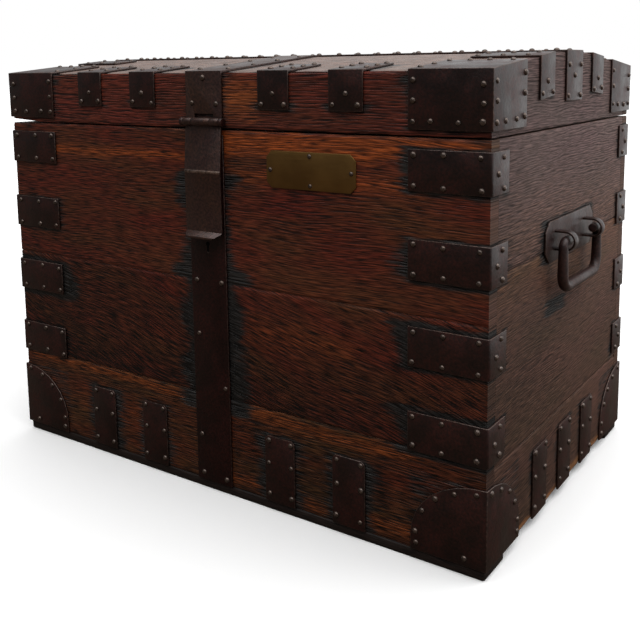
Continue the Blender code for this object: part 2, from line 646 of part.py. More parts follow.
def build_lock(iron, chest, lid, bolt_pivot):
    """A box lock: the lid's link plate drops a tongue into the case, and the bolt slides through its eye."""
    half = LOCK_WIDTH / 2
    front, back = LOCK_MIDDLE - LOCK_DEPTH / 2, LOCK_MIDDLE + LOCK_DEPTH / 2
    room_low, room_high = LOCK_TOP - LOCK_WALL - LOCK_ROOM, LOCK_TOP - LOCK_WALL
    room = half - LOCK_WALL
    case = box((-half, front, LOCK_TOP - LOCK_HEIGHT), (half, back, LOCK_TOP))
    hollow = box((-room, front + LOCK_WALL, room_low), (room, back - LOCK_WALL, room_high))
    across = TONGUE_WIDTH / 2 + TONGUE_PLAY
    deep = TONGUE_DEPTH / 2 + TONGUE_PLAY
    mouth = room_high - LOCK_WALL
    slot = box((-across, LOCK_MIDDLE - deep, mouth), (across, LOCK_MIDDLE + deep, BODY_TOP))
    case = combine(case, "DIFFERENCE", hollow, slot, keyhole(front - LOCK_WALL, LOCK_MIDDLE))
    named(case, "lock_case", iron, chest)

    thick = TONGUE_WIDTH / 2
    plate_face = -HALF_DEPTH + WALL + FIT
    tip = room_low + TONGUE_FLOOR_GAP
    wide = LINK_PLATE_WIDTH / 2
    link = box((-wide, plate_face, LID_LOW), (wide, plate_face + STRAP_THICK, LID_EDGE - WALL))
    reach = TONGUE_DEPTH / 2
    shelf_top = LID_LOW + TONGUE_WIDTH / 2
    shelf = box((-thick, plate_face, LID_LOW), (thick, LOCK_MIDDLE + reach, shelf_top))
    tongue = box((-thick, LOCK_MIDDLE - reach, tip), (thick, LOCK_MIDDLE + reach, shelf_top))
    link = combine(link, "UNION", shelf, tongue)
    eye_low = tip + TONGUE_WALL
    eye = reach - TONGUE_WALL
    hole = box((-across, LOCK_MIDDLE - eye, eye_low), (across, LOCK_MIDDLE + eye, eye_low + EYE_HEIGHT))
    named(combine(link, "DIFFERENCE", hole), "link_plate", iron, lid)

    nose_end = -thick - BOLT_CLEARANCE
    shoulder = nose_end - BOLT_TRAVEL
    side_room = LOCK_DEPTH / 2 - LOCK_WALL - FIT
    low = room_low + FIT
    block = box(
        (shoulder - BOLT_LENGTH, LOCK_MIDDLE - side_room, low),
        (shoulder, LOCK_MIDDLE + side_room, low + BOLT_HEIGHT),
    )
    nose = box(
        (shoulder - BOLT_LENGTH / 2, LOCK_MIDDLE - eye + FIT, eye_low + FIT),
        (nose_end, LOCK_MIDDLE + eye - FIT, eye_low + EYE_HEIGHT - FIT),
    )
    named(combine(block, "UNION", nose), "lock_bolt", iron, bolt_pivot)


def build_plaque(brass, chest):
    place = (PLAQUE_OFFSET, BODY_TOP - PLAQUE_DROP)
    outline = clipped(PLAQUE_WIDTH, PLAQUE_HEIGHT, PLAQUE_CLIP, place)
    plaque = prism(outline, "y", -HALF_DEPTH - FIT - PLAQUE_THICK, -HALF_DEPTH - FIT)
    named(plaque, "name_plaque", brass, chest)


def build_linings(baize, chest, lid):
    """Baize glued inside the body, notched round the lock case, and under the lid's top."""
    x, y = HALF_WIDTH - WALL - FIT, HALF_DEPTH - WALL - FIT
    low, high = RUNNER_HEIGHT + FLOOR + FIT, BODY_TOP - LINING_DROP
    skin = box((-x, -y, low), (x, y, high))
    room = box((BAIZE - x, BAIZE - y, low + BAIZE), (x - BAIZE, y - BAIZE, high + WALL))
    notch = LOCK_WIDTH / 2 + FIT
    cut = box((-notch, -y - WALL, LOCK_TOP - LOCK_HEIGHT - FIT), (notch, BAIZE * 2 - y, high + WALL))
    named(combine(skin, "DIFFERENCE", room, cut), "body_lining", baize, chest)

    layer = crowned(-y, y, -LID_BOARD - FIT, LID_BOARD + FIT + BAIZE)
    named(prism(layer, "x", -x, x), "lid_lining", baize, lid)


def main():
    for obj in list(bpy.data.objects):
        bpy.data.objects.remove(obj)
    oak = finish("dark_oak", (0.055, 0.020, 0.011), 0.55, 0.0)
    iron = finish("wrought_iron", (0.030, 0.027, 0.026), 0.5, 0.85)
    brass = finish("aged_brass", (0.075, 0.055, 0.030), 0.42, 0.9)
    baize = finish("green_baize", (0.012, 0.045, 0.024), 0.95, 0.0)

    chest = pivot("chest", (0, 0, 0))
    lid = pivot("lid_pivot", HINGE_AXIS, chest)
    hasp_pivot = pivot("hasp_pivot", HASP_AXIS, lid)
    bail_pivots = {
        "left": pivot("bail_left_pivot", bail_axis(-1), chest),
        "right": pivot("bail_right_pivot", bail_axis(1), chest),
    }
    bolt_pivot = pivot("lock_bolt_slide", (0, LOCK_MIDDLE, LOCK_TOP - LOCK_WALL - LOCK_ROOM / 2), chest)

    build_runners(oak, chest)
    build_body(oak, chest)
    build_lid(oak, lid)
    build_lid_iron(iron, lid)
    build_hasp(iron, lid, hasp_pivot)
    build_body_iron(iron, chest)
    build_hinges(iron, chest, lid)
    build_handles(iron, chest, bail_pivots)
    build_lock(iron, chest, lid, bolt_pivot)
    build_plaque(brass, chest)
    build_linings(baize, chest, lid)
    bpy.context.view_layer.update()


main()
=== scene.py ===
"""Looks of the iron-bound oak silver chest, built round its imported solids.

Metres, +Z up, front towards -Y. The oak boards get their raised grain as real relief, the iron gets
hammered edges and round-headed studs, and the inside gets its baize.
"""

import collections
import json
import math
import random

import bmesh
import bpy
from mathutils import Matrix, Vector, noise

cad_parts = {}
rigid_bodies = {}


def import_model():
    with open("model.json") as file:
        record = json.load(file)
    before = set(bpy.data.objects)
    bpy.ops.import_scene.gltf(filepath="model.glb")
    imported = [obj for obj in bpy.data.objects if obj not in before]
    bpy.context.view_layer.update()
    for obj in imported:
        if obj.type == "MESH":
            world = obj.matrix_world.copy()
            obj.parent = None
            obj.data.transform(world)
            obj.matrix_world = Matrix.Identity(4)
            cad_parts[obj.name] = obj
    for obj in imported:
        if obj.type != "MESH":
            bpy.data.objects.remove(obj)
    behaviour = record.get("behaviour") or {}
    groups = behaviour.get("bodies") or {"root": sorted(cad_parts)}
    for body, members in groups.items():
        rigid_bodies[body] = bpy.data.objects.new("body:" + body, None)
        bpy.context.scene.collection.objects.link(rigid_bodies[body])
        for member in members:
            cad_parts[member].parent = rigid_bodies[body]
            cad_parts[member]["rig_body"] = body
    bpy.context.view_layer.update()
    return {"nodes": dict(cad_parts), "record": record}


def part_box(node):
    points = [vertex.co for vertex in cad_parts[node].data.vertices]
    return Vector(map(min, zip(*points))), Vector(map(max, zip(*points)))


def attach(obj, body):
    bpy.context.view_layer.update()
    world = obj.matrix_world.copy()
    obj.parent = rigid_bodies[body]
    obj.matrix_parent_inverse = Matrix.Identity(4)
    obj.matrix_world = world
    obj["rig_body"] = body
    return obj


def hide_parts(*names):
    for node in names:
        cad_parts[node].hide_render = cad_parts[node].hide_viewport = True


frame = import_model()

FRONT, RIGHT, UP = Vector((0, -1, 0)), Vector((1, 0, 0)), Vector((0, 0, 1))
BACK, LEFT, DOWN = -FRONT, -RIGHT, -UP
ENDS = (("front", -1), ("back", 1))
HANDS = (("left", -1), ("right", 1))
rng = random.Random(7)

# Places taken from the solids
WOOD_LOW, WOOD_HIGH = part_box("body_back")
HALF_WIDTH = WOOD_HIGH.x
HALF_DEPTH = WOOD_HIGH.y
BODY_LOW = WOOD_LOW.z
BODY_TOP = WOOD_HIGH.z
WALL = WOOD_HIGH.y - WOOD_LOW.y
LID_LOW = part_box("lid_back")[0].z
CROWN_LOW, CROWN_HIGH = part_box("lid_board_crown")
CROWN_TOP = CROWN_HIGH.z
CROWN_HALF = CROWN_HIGH.y
LID_BOARD = CROWN_HIGH.z - CROWN_LOW.z
SLOPE_LOW, SLOPE_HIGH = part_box("lid_board_back")
SLOPE = (CROWN_TOP - SLOPE_LOW.z - LID_BOARD) / (SLOPE_HIGH.y - CROWN_HALF)
BED_WIDTH = SLOPE_HIGH.x
BED_DEPTH = SLOPE_HIGH.y
STRAP_LOW, STRAP_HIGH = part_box("corner_strap_front_left_1")
IRON_OUT = -STRAP_LOW.y - HALF_DEPTH
STRAP_WIDTH = STRAP_HIGH.z - STRAP_LOW.z
CORNER_REACH = HALF_WIDTH + STRAP_HIGH.x
PLATE_END_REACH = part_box("lid_corner_front_left")[1].y + HALF_DEPTH
FOOT_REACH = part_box("foot_plate_front_left")[1].x + HALF_WIDTH
CENTRE_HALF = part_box("front_centre_strap")[1].x
LINING_LOW, LINING_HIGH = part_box("body_lining")
LID_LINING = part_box("lid_lining")[1]
LOCK_LOW, LOCK_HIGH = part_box("lock_case")
CHEST_MIDDLE = Vector((0, 0, 0.25))

# Raised grain of the oak. A patch is a length along the grain and a width across it
GRAIN_STEP_ALONG = 0.004
GRAIN_STEP_ACROSS = 0.0009
RELIEF = 0.0005
SIDE_RELIEF = 0.00035
RING_WIDTH = 0.0031
SIDE_RING_WIDTH = 0.0029
RING_DRIFT = 0.060
RING_WOBBLE = 0.022
RING_SWAY = 1.1
RING_SHAKE = 0.35
FIBRE_WIDTH = 0.0014
LINE_STRENGTH = 2.05
GROOVE_SHARE = 0.05
FIGURE_PATCH = (0.170, 0.110)
RUBBED_PATCH = (0.220, 0.090)
TONE_PATCH = (0.200, 0.100)
WORN_PATCH = (0.030, 0.030)
RUBBED_SHARE = 0.6
WORN_SHARE = 0.7
WORN_SPREAD = 0.6
TONE_SPREAD = 0.2
EDGE_GRAIN = 0.8
PLAIN_GRAIN = 0.5
ARRIS_WEAR = 0.0012
ARRIS_REACH = 0.003

# Boards: heights of their seams, and the seeds of their grain
FRONT_SEAMS = (BODY_LOW, 0.126, 0.272, BODY_TOP)
SIDE_SEAMS = (BODY_LOW, 0.115, 0.319, BODY_TOP)
BACK_SEAMS = (BODY_LOW, 0.150, 0.300, BODY_TOP)
SEAM_GAP = 0.0004
REBATE = 0.0003
LID_BED = LID_BOARD + 2 * REBATE
FRONT_SEED = 3
SIDE_SEED = 20
BACK_SEED = 30
LID_RAIL_SEED = 40
LID_END_SEED = 50
LID_TOP_SEEDS = {"front": 65, "crown": 65, "back": 64}

# Iron stain in the oak. A bleed is how strongly an iron has stained it. Bleeds of corner straps run from the
# top one down, and those of the lid's straps from the left
STAIN_ALONG = 0.026
STAIN_ACROSS = 0.006
STAIN_DRIP = 0.002
STAIN_RAG = (0.020, 0.003)
STAIN_PATCH = (0.080, 0.050)
STAIN_RAGGED = 0.5
STAIN_SHARE = 0.8
STAIN_SPREAD = 0.7
STAIN_CRISP = 1.6
FRONT_BLEED = {"left": (0.2, 0.7, 1.4, 0.5), "right": (0.7, 1.0, 1.2, 1.3)}
PLAIN_BLEED = (0.4, 0.5, 0.6, 0.5)
LID_BLEED = (0.4, 0.5, 0.9, 0.8)
LID_BLEED_HEIGHT = 0.006
LID_CENTRE_BLEED = 0.4
LID_CORNER_BLEED = 0.7
LID_END_BLEED = 0.4
LID_TOP_BLEED = 0.7
LID_TOP_CENTRE_BLEED = 0.6
FOOT_BLEED = (0.2, 0.6)
BOTTOM_BLEED = (0.6, 1.1)
SIDE_BOTTOM_BLEED = 0.5
# The stain round a handle plate is strong enough to stand for its shadow too: stain and painted shadow
HANDLE_STAIN_AND_SHADOW = 0.8

# Stains as left, right, low, high and strength: three beside the centre strap, one where a handle has struck
CENTRE_STAINS = [
    (-CENTRE_HALF, CENTRE_HALF, 0.364, 0.402, 1.5),
    (-CENTRE_HALF, CENTRE_HALF, 0.280, 0.364, 0.9),
    (-CENTRE_HALF + 0.006, CENTRE_HALF + 0.003, 0.110, 0.285, 1.5),
]
HANDLE_SCUFF = (-0.065, -0.020, 0.243, 0.258, 0.9)

# Honey streaks as left, right, middle, half width and strength
STREAK_WANDER = 0.006
STREAK_BEND = 0.150
STREAK_RAG = (0.030, 0.002)
STREAK_RAGGED = 0.5
STREAK_FULL = 1.2
STREAK_END = 0.040
FRONT_STREAKS = [
    (-0.290, -0.030, 0.424, 0.009, 0.65),
    (0.030, 0.235, 0.442, 0.016, 1.3),
    (0.255, 0.340, 0.452, 0.006, 0.8),
    (0.060, 0.270, 0.405, 0.014, 0.5),
    (0.060, 0.200, 0.220, 0.030, 0.3),
    (-0.350, -0.040, 0.119, 0.009, 0.8),
    (0.030, 0.270, 0.114, 0.011, 0.85),
    (0.205, 0.290, 0.028, 0.010, 0.9),
    (0.030, 0.200, 0.023, 0.010, 0.55),
    (-0.240, -0.110, 0.070, 0.030, 0.3),
]
SIDE_STREAKS = [
    (-0.140, 0.140, BODY_LOW + 0.004, 0.006, 1.2),
    (-0.250, 0.250, 0.340, 0.090, 0.25),
]
LID_STREAKS = [(0.026, 0.075, 0.497, 0.030, 0.8)]

# Slot in the centre strap under the hasp's lip: a thin near-black sheet, the painted shade of a hole, with a
# painted highlight bead at its foot
SLOT_TOP = 0.322
SLOT_LOW = 0.308
SLOT_RADIUS = 0.0027
SLOT_PROUD = 0.0003
SLOT_STEPS = 12
SLOT_HEAD_START = -60
SLOT_HEAD_SWEEP = 300
# Size of the bright bead at the slot's foot, a painted highlight
SLOT_GLINT_SIZE = 0.3

# Pit in the wood behind the keyhole, which the hasp covers
KEYHOLE = Vector((0.012, 0, 0.436))
KEYHOLE_ROOM = 0.012
KEYHOLE_PIT = 0.015

# Iron straps and plates
IRON_THICK = 0.0024
EDGE_ROUND = 0.0007
PLAQUE_ROUND = 0.0004
RUNNER_ROUND = 0.002
RIDGE_HALF = 0.0018
RIDGE_BEAD = 0.0008
RIDGE_TURNS = (math.radians(3), math.radians(20))
FLAT_TURN = math.radians(1)
ROUND_TURN = math.radians(6)
SHARP_TURN = math.radians(35)
SHADE_TURN = math.radians(40)
MERGE_DISTANCE = 1e-6
BOTTOM_STRAP_TOP = BODY_LOW + 0.083
BOTTOM_STRAP_CLIP = 0.004
LID_STRAP_LOW = LID_LOW + 0.023
LID_STRAP_RETURN = 0.064
END_STRAP_LOW = LID_LOW + 0.034
END_STRAP_RETURN = 0.080

# Studs, driven in by hand
STUD_RADIUS = 0.0035
STUD_HEIGHT = 0.0024
STUD_PROFILE = ((0, 1), (0.42, 0.9), (0.78, 0.6), (1, 0.1), (0.98, -0.15))
STUD_STEPS = 10
STUD_LEAN = 0.08
STUD_SIZES = (0.88, 1.1)
STUD_STRAY = 0.0009
STUD_INSET = 0.0060
STUD_PITCH = 0.030
NAIL_SIZE = 0.8
NAIL_INSET = 0.005
NAIL_TOP_INSET = 0.004

# Places of studs on the body, as insets from the chest's corners, as heights, or as the two together
STRAP_STUD = 0.016
CORNER_STUDS = (0.009, 0.049, 0.084)
CORNER_RETURN_STUDS = ((0.026, STRAP_STUD), (0.013, 0), (0.026, -STRAP_STUD))
FOOT_STUD_DEGREES = (6, 25, 44, 63, 86)
FOOT_STUD_RISE = 0.018
FOOT_STUD_TALL = 0.065
FOOT_TIP_STUD = (0.079, 0.009)
FOOT_HEEL_STUD = (0.022, 0.008)
BOTTOM_STUDS = (0.090, 0.061, 0.022)
SIDE_BOTTOM_STUDS = (0.090, 0.061, 0.024)
CENTRE_STUDS = (
    (-0.020, 0.273),
    (0.020, 0.273),
    (-0.018, 0.204),
    (0.022, 0.140),
    (-0.019, 0.073),
    (-0.017, 0.022),
    (0.019, 0.021),
)
LEAF_STUD = 0.015
BODY_LEAF_TOP_STUD = 0.014
LID_LEAF_LOW_STUD = 0.016

# Places of studs on the lid
LID_CORNER_STUDS = (
    (0.084, 0.516),
    (0.084, 0.495),
    (0.084, 0.474),
    (0.065, 0.474),
    (0.033, 0.474),
    (0.008, 0.475),
    (0.008, 0.493),
    (0.008, 0.511),
)
LID_RETURN_STUDS = (
    (0.078, 0.522),
    (0.078, 0.501),
    (0.078, 0.478),
    (0.056, 0.476),
    (0.028, 0.475),
    (0.006, 0.475),
    (0.006, 0.496),
    (0.006, 0.515),
)
LID_PLATE_STUDS = (0.010, 0.036, 0.060, 0.084)
LID_PLATE_EDGE = 0.084
LID_PLATE_EDGE_STUDS = (0.012, 0.044)
LID_STRAP_STUDS = ((0, 0.501), (-STRAP_STUD, 0.489), (STRAP_STUD, 0.489))
LID_STRAP_TOP_STUDS = (-0.218, -0.197, -0.176)
LID_CENTRE_STUDS = ((0, 0.519), (-0.019, 0.489), (0.019, 0.489))
END_STRAP_STUDS = ((0, 0.513), (-STRAP_STUD, 0.500), (STRAP_STUD, 0.500))
END_STRAP_TOP_STUDS = (0.014, 0.044, 0.074)
CROWN_END_STUDS = ((-0.021, 0.529), (0.021, 0.529), (0, 0.518), (-0.021, 0.494), (0.021, 0.494))
CROWN_FIRST_STUD = 0.012
CENTRE_ROW_REACH = 0.215
CENTRE_ROW_COUNT = 10

# Handles
HANDLE_CLIP = 0.012
HOOD_SPACING = 0.100
HOOD_WIDTH = 0.012
HOOD_STEPS = 12
BAIL_SWELL = 0.0008
BAIL_NECK = 0.012

# Gap that has opened under the lid's front left corner
GAP_LIFT = 0.0036
GAP_REACH = 0.060
GAP_RISE = 0.020

# Baize linings
BAIZE_THICK = 0.0016
BAIZE_STEP = 0.010
BAIZE_PUCKER = 0.0004
PUCKER_WIDTH = 0.05

# Studio: a wide soft light overhead, a window behind on the right, and a room that is brightest on that side
FLOOR_HALF = 30
BRIGHT_SIDE = Vector((0.5, 0.8, 0.3))
BRIGHT_WALL = 0.9
DIM_WALL = 0.13
LIGHT_TARGET = Vector((0, 0, 0.3))
TOP_PLACE = Vector((0.05, -0.15, 1.0))
TOP_STRENGTH = 2.8
TOP_SPREAD = math.radians(85)
WINDOW_PLACE = Vector((1.3, 0.7, 1.35))
WINDOW_STRENGTH = 6.0
WINDOW_SIZE = 1.2

# Camera, at the photograph's viewing angle for a square picture
CAMERA_PLACE = Vector((0.7005, -1.0143, 0.5285))
CAMERA_YAW = math.radians(34.486)
CAMERA_PITCH = math.radians(-8.085)
CAMERA_ROLL = math.radians(-0.716)
CAMERA_LENS = 48.91
CAMERA_SHIFT = -0.2

# What the boards tell their material, vertex by vertex
MARKS = ("grain", "stain", "warm", "tone")
# Iron-stained wood: grey on the ridges, the stain with a painted highlight, and black in the grooves
STAIN_LIT_RIDGE = "#2d2b2a"
STAIN_GROOVE = "#040404"


def linear(code):
    """An sRGB hex colour as linear RGBA."""
    parts = [int(code[place : place + 2], 16) / 255 for place in (1, 3, 5)]
    return (*[c / 12.92 if c <= 0.04045 else ((c + 0.055) / 1.055) ** 2.4 for c in parts], 1)


def add(tree, kind, inputs, **settings):
    """Adds one node with its settings. Each input takes a value or another node's output.

    Inputs go by name or number: 1 to 4 are the limits of a map range, from and to, and of a colour mix
    0 is the factor, 6 the first colour and 7 the second.
    """
    made = tree.nodes.new(kind)
    for name, value in settings.items():
        setattr(made, name, value)
    for name, value in inputs.items():
        if isinstance(value, bpy.types.NodeSocket):
            tree.links.new(value, made.inputs[name])
        else:
            made.inputs[name].default_value = value
    return made


def new_material(name):
    material = bpy.data.materials.new(name)
    material.use_nodes = True
    return material, material.node_tree, material.node_tree.nodes["Principled BSDF"]


def oak(name, red, brown, groove, honey, polish=0.44, gloss=0.3, grit=0.78):
    """Old waxed oak, brushed by wear: smooth ridges between dark open grooves, speckled with pores.

    The board's own attributes say how its fibres run and where ridges, iron stains and honey streaks lie.
    Polish is the roughness of the ridges, gloss the strength of their reflection, grit that of the pores.
    """
    material, tree, shader = new_material(name)
    along = add(tree, "ShaderNodeAttribute", {}, attribute_name="fibre").outputs["Vector"]
    marks = [add(tree, "ShaderNodeAttribute", {}, attribute_name=mark).outputs["Fac"] for mark in MARKS]
    ridge, stain, warm, tone = marks

    # Pores 22 mm long and 1.3 mm wide, drawn three times as wide as they are so that they show
    pore_scale = (1 / 0.022, 1 / 0.0013, 1)
    pore_place = add(tree, "ShaderNodeMapping", {"Vector": along, "Scale": pore_scale}).outputs[0]
    pore = add(tree, "ShaderNodeTexNoise", {"Vector": pore_place, "Scale": 1, "Detail": 2}).outputs[0]
    # Clouds of old wax and dirt, 150 mm long and 45 mm wide
    cloud_scale = (1 / 0.150, 1 / 0.045, 1)
    cloud_place = add(tree, "ShaderNodeMapping", {"Vector": along, "Scale": cloud_scale}).outputs[0]
    cloud = add(tree, "ShaderNodeTexNoise", {"Vector": cloud_place, "Scale": 1, "Detail": 3}).outputs[0]

    patch = add(tree, "ShaderNodeMapRange", {"Value": cloud, 1: 0.3, 2: 0.7, 3: 0, 4: 1}).outputs[0]
    wood = add(tree, "ShaderNodeMix", {0: patch, 6: linear(red), 7: linear(brown)}, data_type="RGBA")
    glow = add(tree, "ShaderNodeMath", {0: warm, 1: 0.9}, operation="MULTIPLY").outputs[0]
    wood = add(tree, "ShaderNodeMix", {0: glow, 6: wood.outputs[2], 7: linear(honey)}, data_type="RGBA")
    sunk = add(tree, "ShaderNodeMapRange", {"Value": ridge, 1: 0.1, 2: 0.9, 3: 0.9, 4: 0}).outputs[0]
    wood = add(tree, "ShaderNodeMix", {0: sunk, 6: wood.outputs[2], 7: linear(groove)}, data_type="RGBA")
    # Iron stain, its ridges paler as a painted highlight
    slate = {0: sunk, 6: linear(STAIN_LIT_RIDGE), 7: linear(STAIN_GROOVE)}
    slate = add(tree, "ShaderNodeMix", slate, data_type="RGBA").outputs[2]
    wood = add(tree, "ShaderNodeMix", {0: stain, 6: wood.outputs[2], 7: slate}, data_type="RGBA")
    specks = {"Value": pore, 1: 0.34, 2: 0.66, 3: 1 - grit, 4: 1 + grit}
    speck = add(tree, "ShaderNodeMapRange", specks).outputs[0]
    shade = add(tree, "ShaderNodeMath", {0: speck, 1: tone}, operation="ADD").outputs[0]
    wood = add(tree, "ShaderNodeVectorMath", {0: wood.outputs[2], 1: shade}, operation="MULTIPLY")
    rough = add(tree, "ShaderNodeMapRange", {"Value": ridge, 1: 0, 2: 1, 3: 0.80, 4: polish}).outputs[0]
    bump = add(tree, "ShaderNodeBump", {"Height": pore, "Strength": 0.6, "Distance": 0.0006})
    tree.links.new(wood.outputs[0], shader.inputs["Base Color"])
    tree.links.new(rough, shader.inputs["Roughness"])
    tree.links.new(bump.outputs[0], shader.inputs["Normal"])
    shader.inputs["Specular IOR Level"].default_value = gloss
    return material


def iron(name, dark, brown, smooth, metallic, gloss=0.9):
    """Hand-worked iron, dark with old oil: soft hammer dents, fine pits and browner rust blooms.

    Smooth is the roughness of the cleanest iron, gloss the strength of its oily shine.
    """
    material, tree, shader = new_material(name)
    place = add(tree, "ShaderNodeTexCoord", {}).outputs["Object"]
    # Rust blooms 25 mm across, pits 3 mm across and hammer dents 14 mm across
    bloom = add(tree, "ShaderNodeTexNoise", {"Vector": place, "Scale": 1 / 0.025, "Detail": 4}).outputs[0]
    pit = add(tree, "ShaderNodeTexNoise", {"Vector": place, "Scale": 1 / 0.003, "Detail": 3}).outputs[0]
    dent = add(tree, "ShaderNodeTexNoise", {"Vector": place, "Scale": 1 / 0.014, "Detail": 1}).outputs[0]
    patch = add(tree, "ShaderNodeMapRange", {"Value": bloom, 1: 0.4, 2: 0.65, 3: 0, 4: 1}).outputs[0]
    colour = add(tree, "ShaderNodeMix", {0: patch, 6: linear(dark), 7: linear(brown)}, data_type="RGBA")
    speck = add(tree, "ShaderNodeMapRange", {"Value": pit, 1: 0.32, 2: 0.68, 3: 0.45, 4: 1.6}).outputs[0]
    colour = add(tree, "ShaderNodeVectorMath", {0: colour.outputs[2], 1: speck}, operation="MULTIPLY")
    blur = {"Value": bloom, 1: 0.3, 2: 0.7, 3: smooth, 4: smooth + 0.2}
    rough = add(tree, "ShaderNodeMapRange", blur).outputs[0]
    fine = add(tree, "ShaderNodeBump", {"Height": pit, "Strength": 0.5, "Distance": 0.0005})
    dents = {"Height": dent, "Strength": 0.35, "Distance": 0.0012, "Normal": fine.outputs[0]}
    hammered = add(tree, "ShaderNodeBump", dents)
    tree.links.new(colour.outputs[0], shader.inputs["Base Color"])
    tree.links.new(rough, shader.inputs["Roughness"])
    tree.links.new(hammered.outputs[0], shader.inputs["Normal"])
    shader.inputs["Metallic"].default_value = metallic
    shader.inputs["Specular IOR Level"].default_value = gloss
    return material


def brass(name):
    """Rolled sheet brass under a dull brown patina, with fine scratches along the roll."""
    material, tree, shader = new_material(name)
    place = add(tree, "ShaderNodeTexCoord", {}).outputs["Object"]
    # Patches of patina 30 mm across, and scratches 20 mm long and 0.8 mm wide
    bloom = add(tree, "ShaderNodeTexNoise", {"Vector": place, "Scale": 1 / 0.030, "Detail": 4}).outputs[0]
    scratch_scale = (1 / 0.02, 1 / 0.0008, 1 / 0.0008)
    rolled = add(tree, "ShaderNodeMapping", {"Vector": place, "Scale": scratch_scale}).outputs[0]
    scratch = add(tree, "ShaderNodeTexNoise", {"Vector": rolled, "Scale": 1, "Detail": 2}).outputs[0]
    patch = add(tree, "ShaderNodeMapRange", {"Value": bloom, 1: 0.35, 2: 0.65, 3: 0, 4: 1}).outputs[0]
    sides = {0: patch, 6: linear("#6e522c"), 7: linear("#7d5f34")}
    colour = add(tree, "ShaderNodeMix", sides, data_type="RGBA")
    rough = add(tree, "ShaderNodeMapRange", {"Value": scratch, 1: 0.3, 2: 0.7, 3: 0.38, 4: 0.55}).outputs[0]
    fine = add(tree, "ShaderNodeBump", {"Height": scratch, "Strength": 0.15, "Distance": 0.0002})
    tree.links.new(colour.outputs[2], shader.inputs["Base Color"])
    tree.links.new(rough, shader.inputs["Roughness"])
    tree.links.new(fine.outputs[0], shader.inputs["Normal"])
    shader.inputs["Metallic"].default_value = 0.9
    return material


def baize(name):
    """Felted woollen baize: a soft nap that hides the weave and goes pale at grazing angles."""
    material, tree, shader = new_material(name)
    place = add(tree, "ShaderNodeTexCoord", {}).outputs["Object"]
    # Tufts of nap 2.5 mm across, and faded patches 120 mm across
    nap = add(tree, "ShaderNodeTexNoise", {"Vector": place, "Scale": 1 / 0.0025, "Detail": 3}).outputs[0]
    fade = add(tree, "ShaderNodeTexNoise", {"Vector": place, "Scale": 1 / 0.120, "Detail": 3}).outputs[0]
    mixed = add(tree, "ShaderNodeMath", {0: nap, 1: 0.5, 2: fade}, operation="MULTIPLY_ADD").outputs[0]
    patch = add(tree, "ShaderNodeMapRange", {"Value": mixed, 1: 0.5, 2: 1.0, 3: 0, 4: 1}).outputs[0]
    sides = {0: patch, 6: linear("#12301f"), 7: linear("#2c5138")}
    colour = add(tree, "ShaderNodeMix", sides, data_type="RGBA")
    fuzz = add(tree, "ShaderNodeBump", {"Height": nap, "Strength": 0.5, "Distance": 0.0006})
    tree.links.new(colour.outputs[2], shader.inputs["Base Color"])
    tree.links.new(fuzz.outputs[0], shader.inputs["Normal"])
    shader.inputs["Roughness"].default_value = 0.95
    shader.inputs["Specular IOR Level"].default_value = 0.15
    shader.inputs["Sheen Weight"].default_value = 0.4
    return material


# Oak by its place on the chest: red and waxed in front, browner near the floor, greyer and dull at the
# sides, the grey a painted sheen, dry behind, pale and shiny on top of the lid, the paleness a painted
# sheen, and near black underneath as painted shade
OAK_FRONT = oak("brushed_oak", "#602318", "#55301b", "#180907", "#96491f")
# Darker and browner, for the lowest front board
OAK_LOW = oak("low_brushed_oak", "#5a2615", "#48301a", "#140906", "#80401c")
# The sides' greyer colour is a painted sheen of grazing light; their dullness is real
OAK_SIDE = oak("sheen_grey_brushed_oak", "#593d34", "#4d392c", "#2c1e18", "#9a6a44", 0.62, 0.15, 0.45)
# Paler grey still, a painted sheen, for the side's top board, the lid's ends and the lid rails' ends
OAK_GREY = oak("sheen_paler_grey_oak", "#5f4a48", "#584844", "#2e2422", "#9a6a44", 0.62, 0.15, 0.45)
OAK_LID = oak("red_brushed_oak", "#64291f", "#552a1c", "#140807", "#8c4a24")
OAK_BACK = oak("dry_brushed_oak", "#54301f", "#4c3122", "#1d100b", "#7a4c2a")
# The top faces' paler colour is a painted sheen; their strong gloss is real
OAK_TOP = oak("top_sheen_pale_oak", "#6c5146", "#5e483c", "#2e1f1a", "#8a5230", 0.40, 0.9)
# Near black: painted shade under the chest
OAK_SHADE_BLACK = oak("shade_black_oak", "#1d1310", "#231812", "#120b09", "#2a1c17")

# Each board's woods for its faces along X, Y and Z. The X faces take a greyer copy and the Z faces a paler
# copy of the oak, both a painted sheen
OAKS = [OAK_SIDE, OAK_FRONT, OAK_TOP]
LOW_OAKS = [OAK_SIDE, OAK_LOW, OAK_TOP]
LID_OAKS = [OAK_GREY, OAK_LID, OAK_TOP]
GREY_OAKS = [OAK_GREY, OAK_FRONT, OAK_TOP]
BACK_OAKS = [OAK_SIDE, OAK_BACK, OAK_TOP]
FRONT_WOODS = [LOW_OAKS, OAKS, OAKS]
# The side's top board takes the paler grey oak, a stronger painted sheen
SIDE_WOODS = [OAKS, OAKS, GREY_OAKS]
RAIL_WOODS = {"front": LID_OAKS, "back": BACK_OAKS}

# Iron by its use: oiled straps, edges and ridges rubbed bright and lighter still for a painted highlight,
# pieces that hands polish, dull handles, a waxed centre strap, a near-black hole for its painted shade, a
# painted glint, and studs with a sharp shine
IRON = iron("wrought_iron", "#1c0a08", "#300f0a", 0.30, 0.35, 0.65)
# Edges: lighter for wear and for a painted highlight where light catches them
WORN_HIGHLIT_IRON = iron("rubbed_highlit_iron_edge", "#4e423e", "#4e3c34", 0.34, 0.8)
HANDLED_IRON = iron("handled_iron", "#36201c", "#3a2116", 0.30, 0.5)
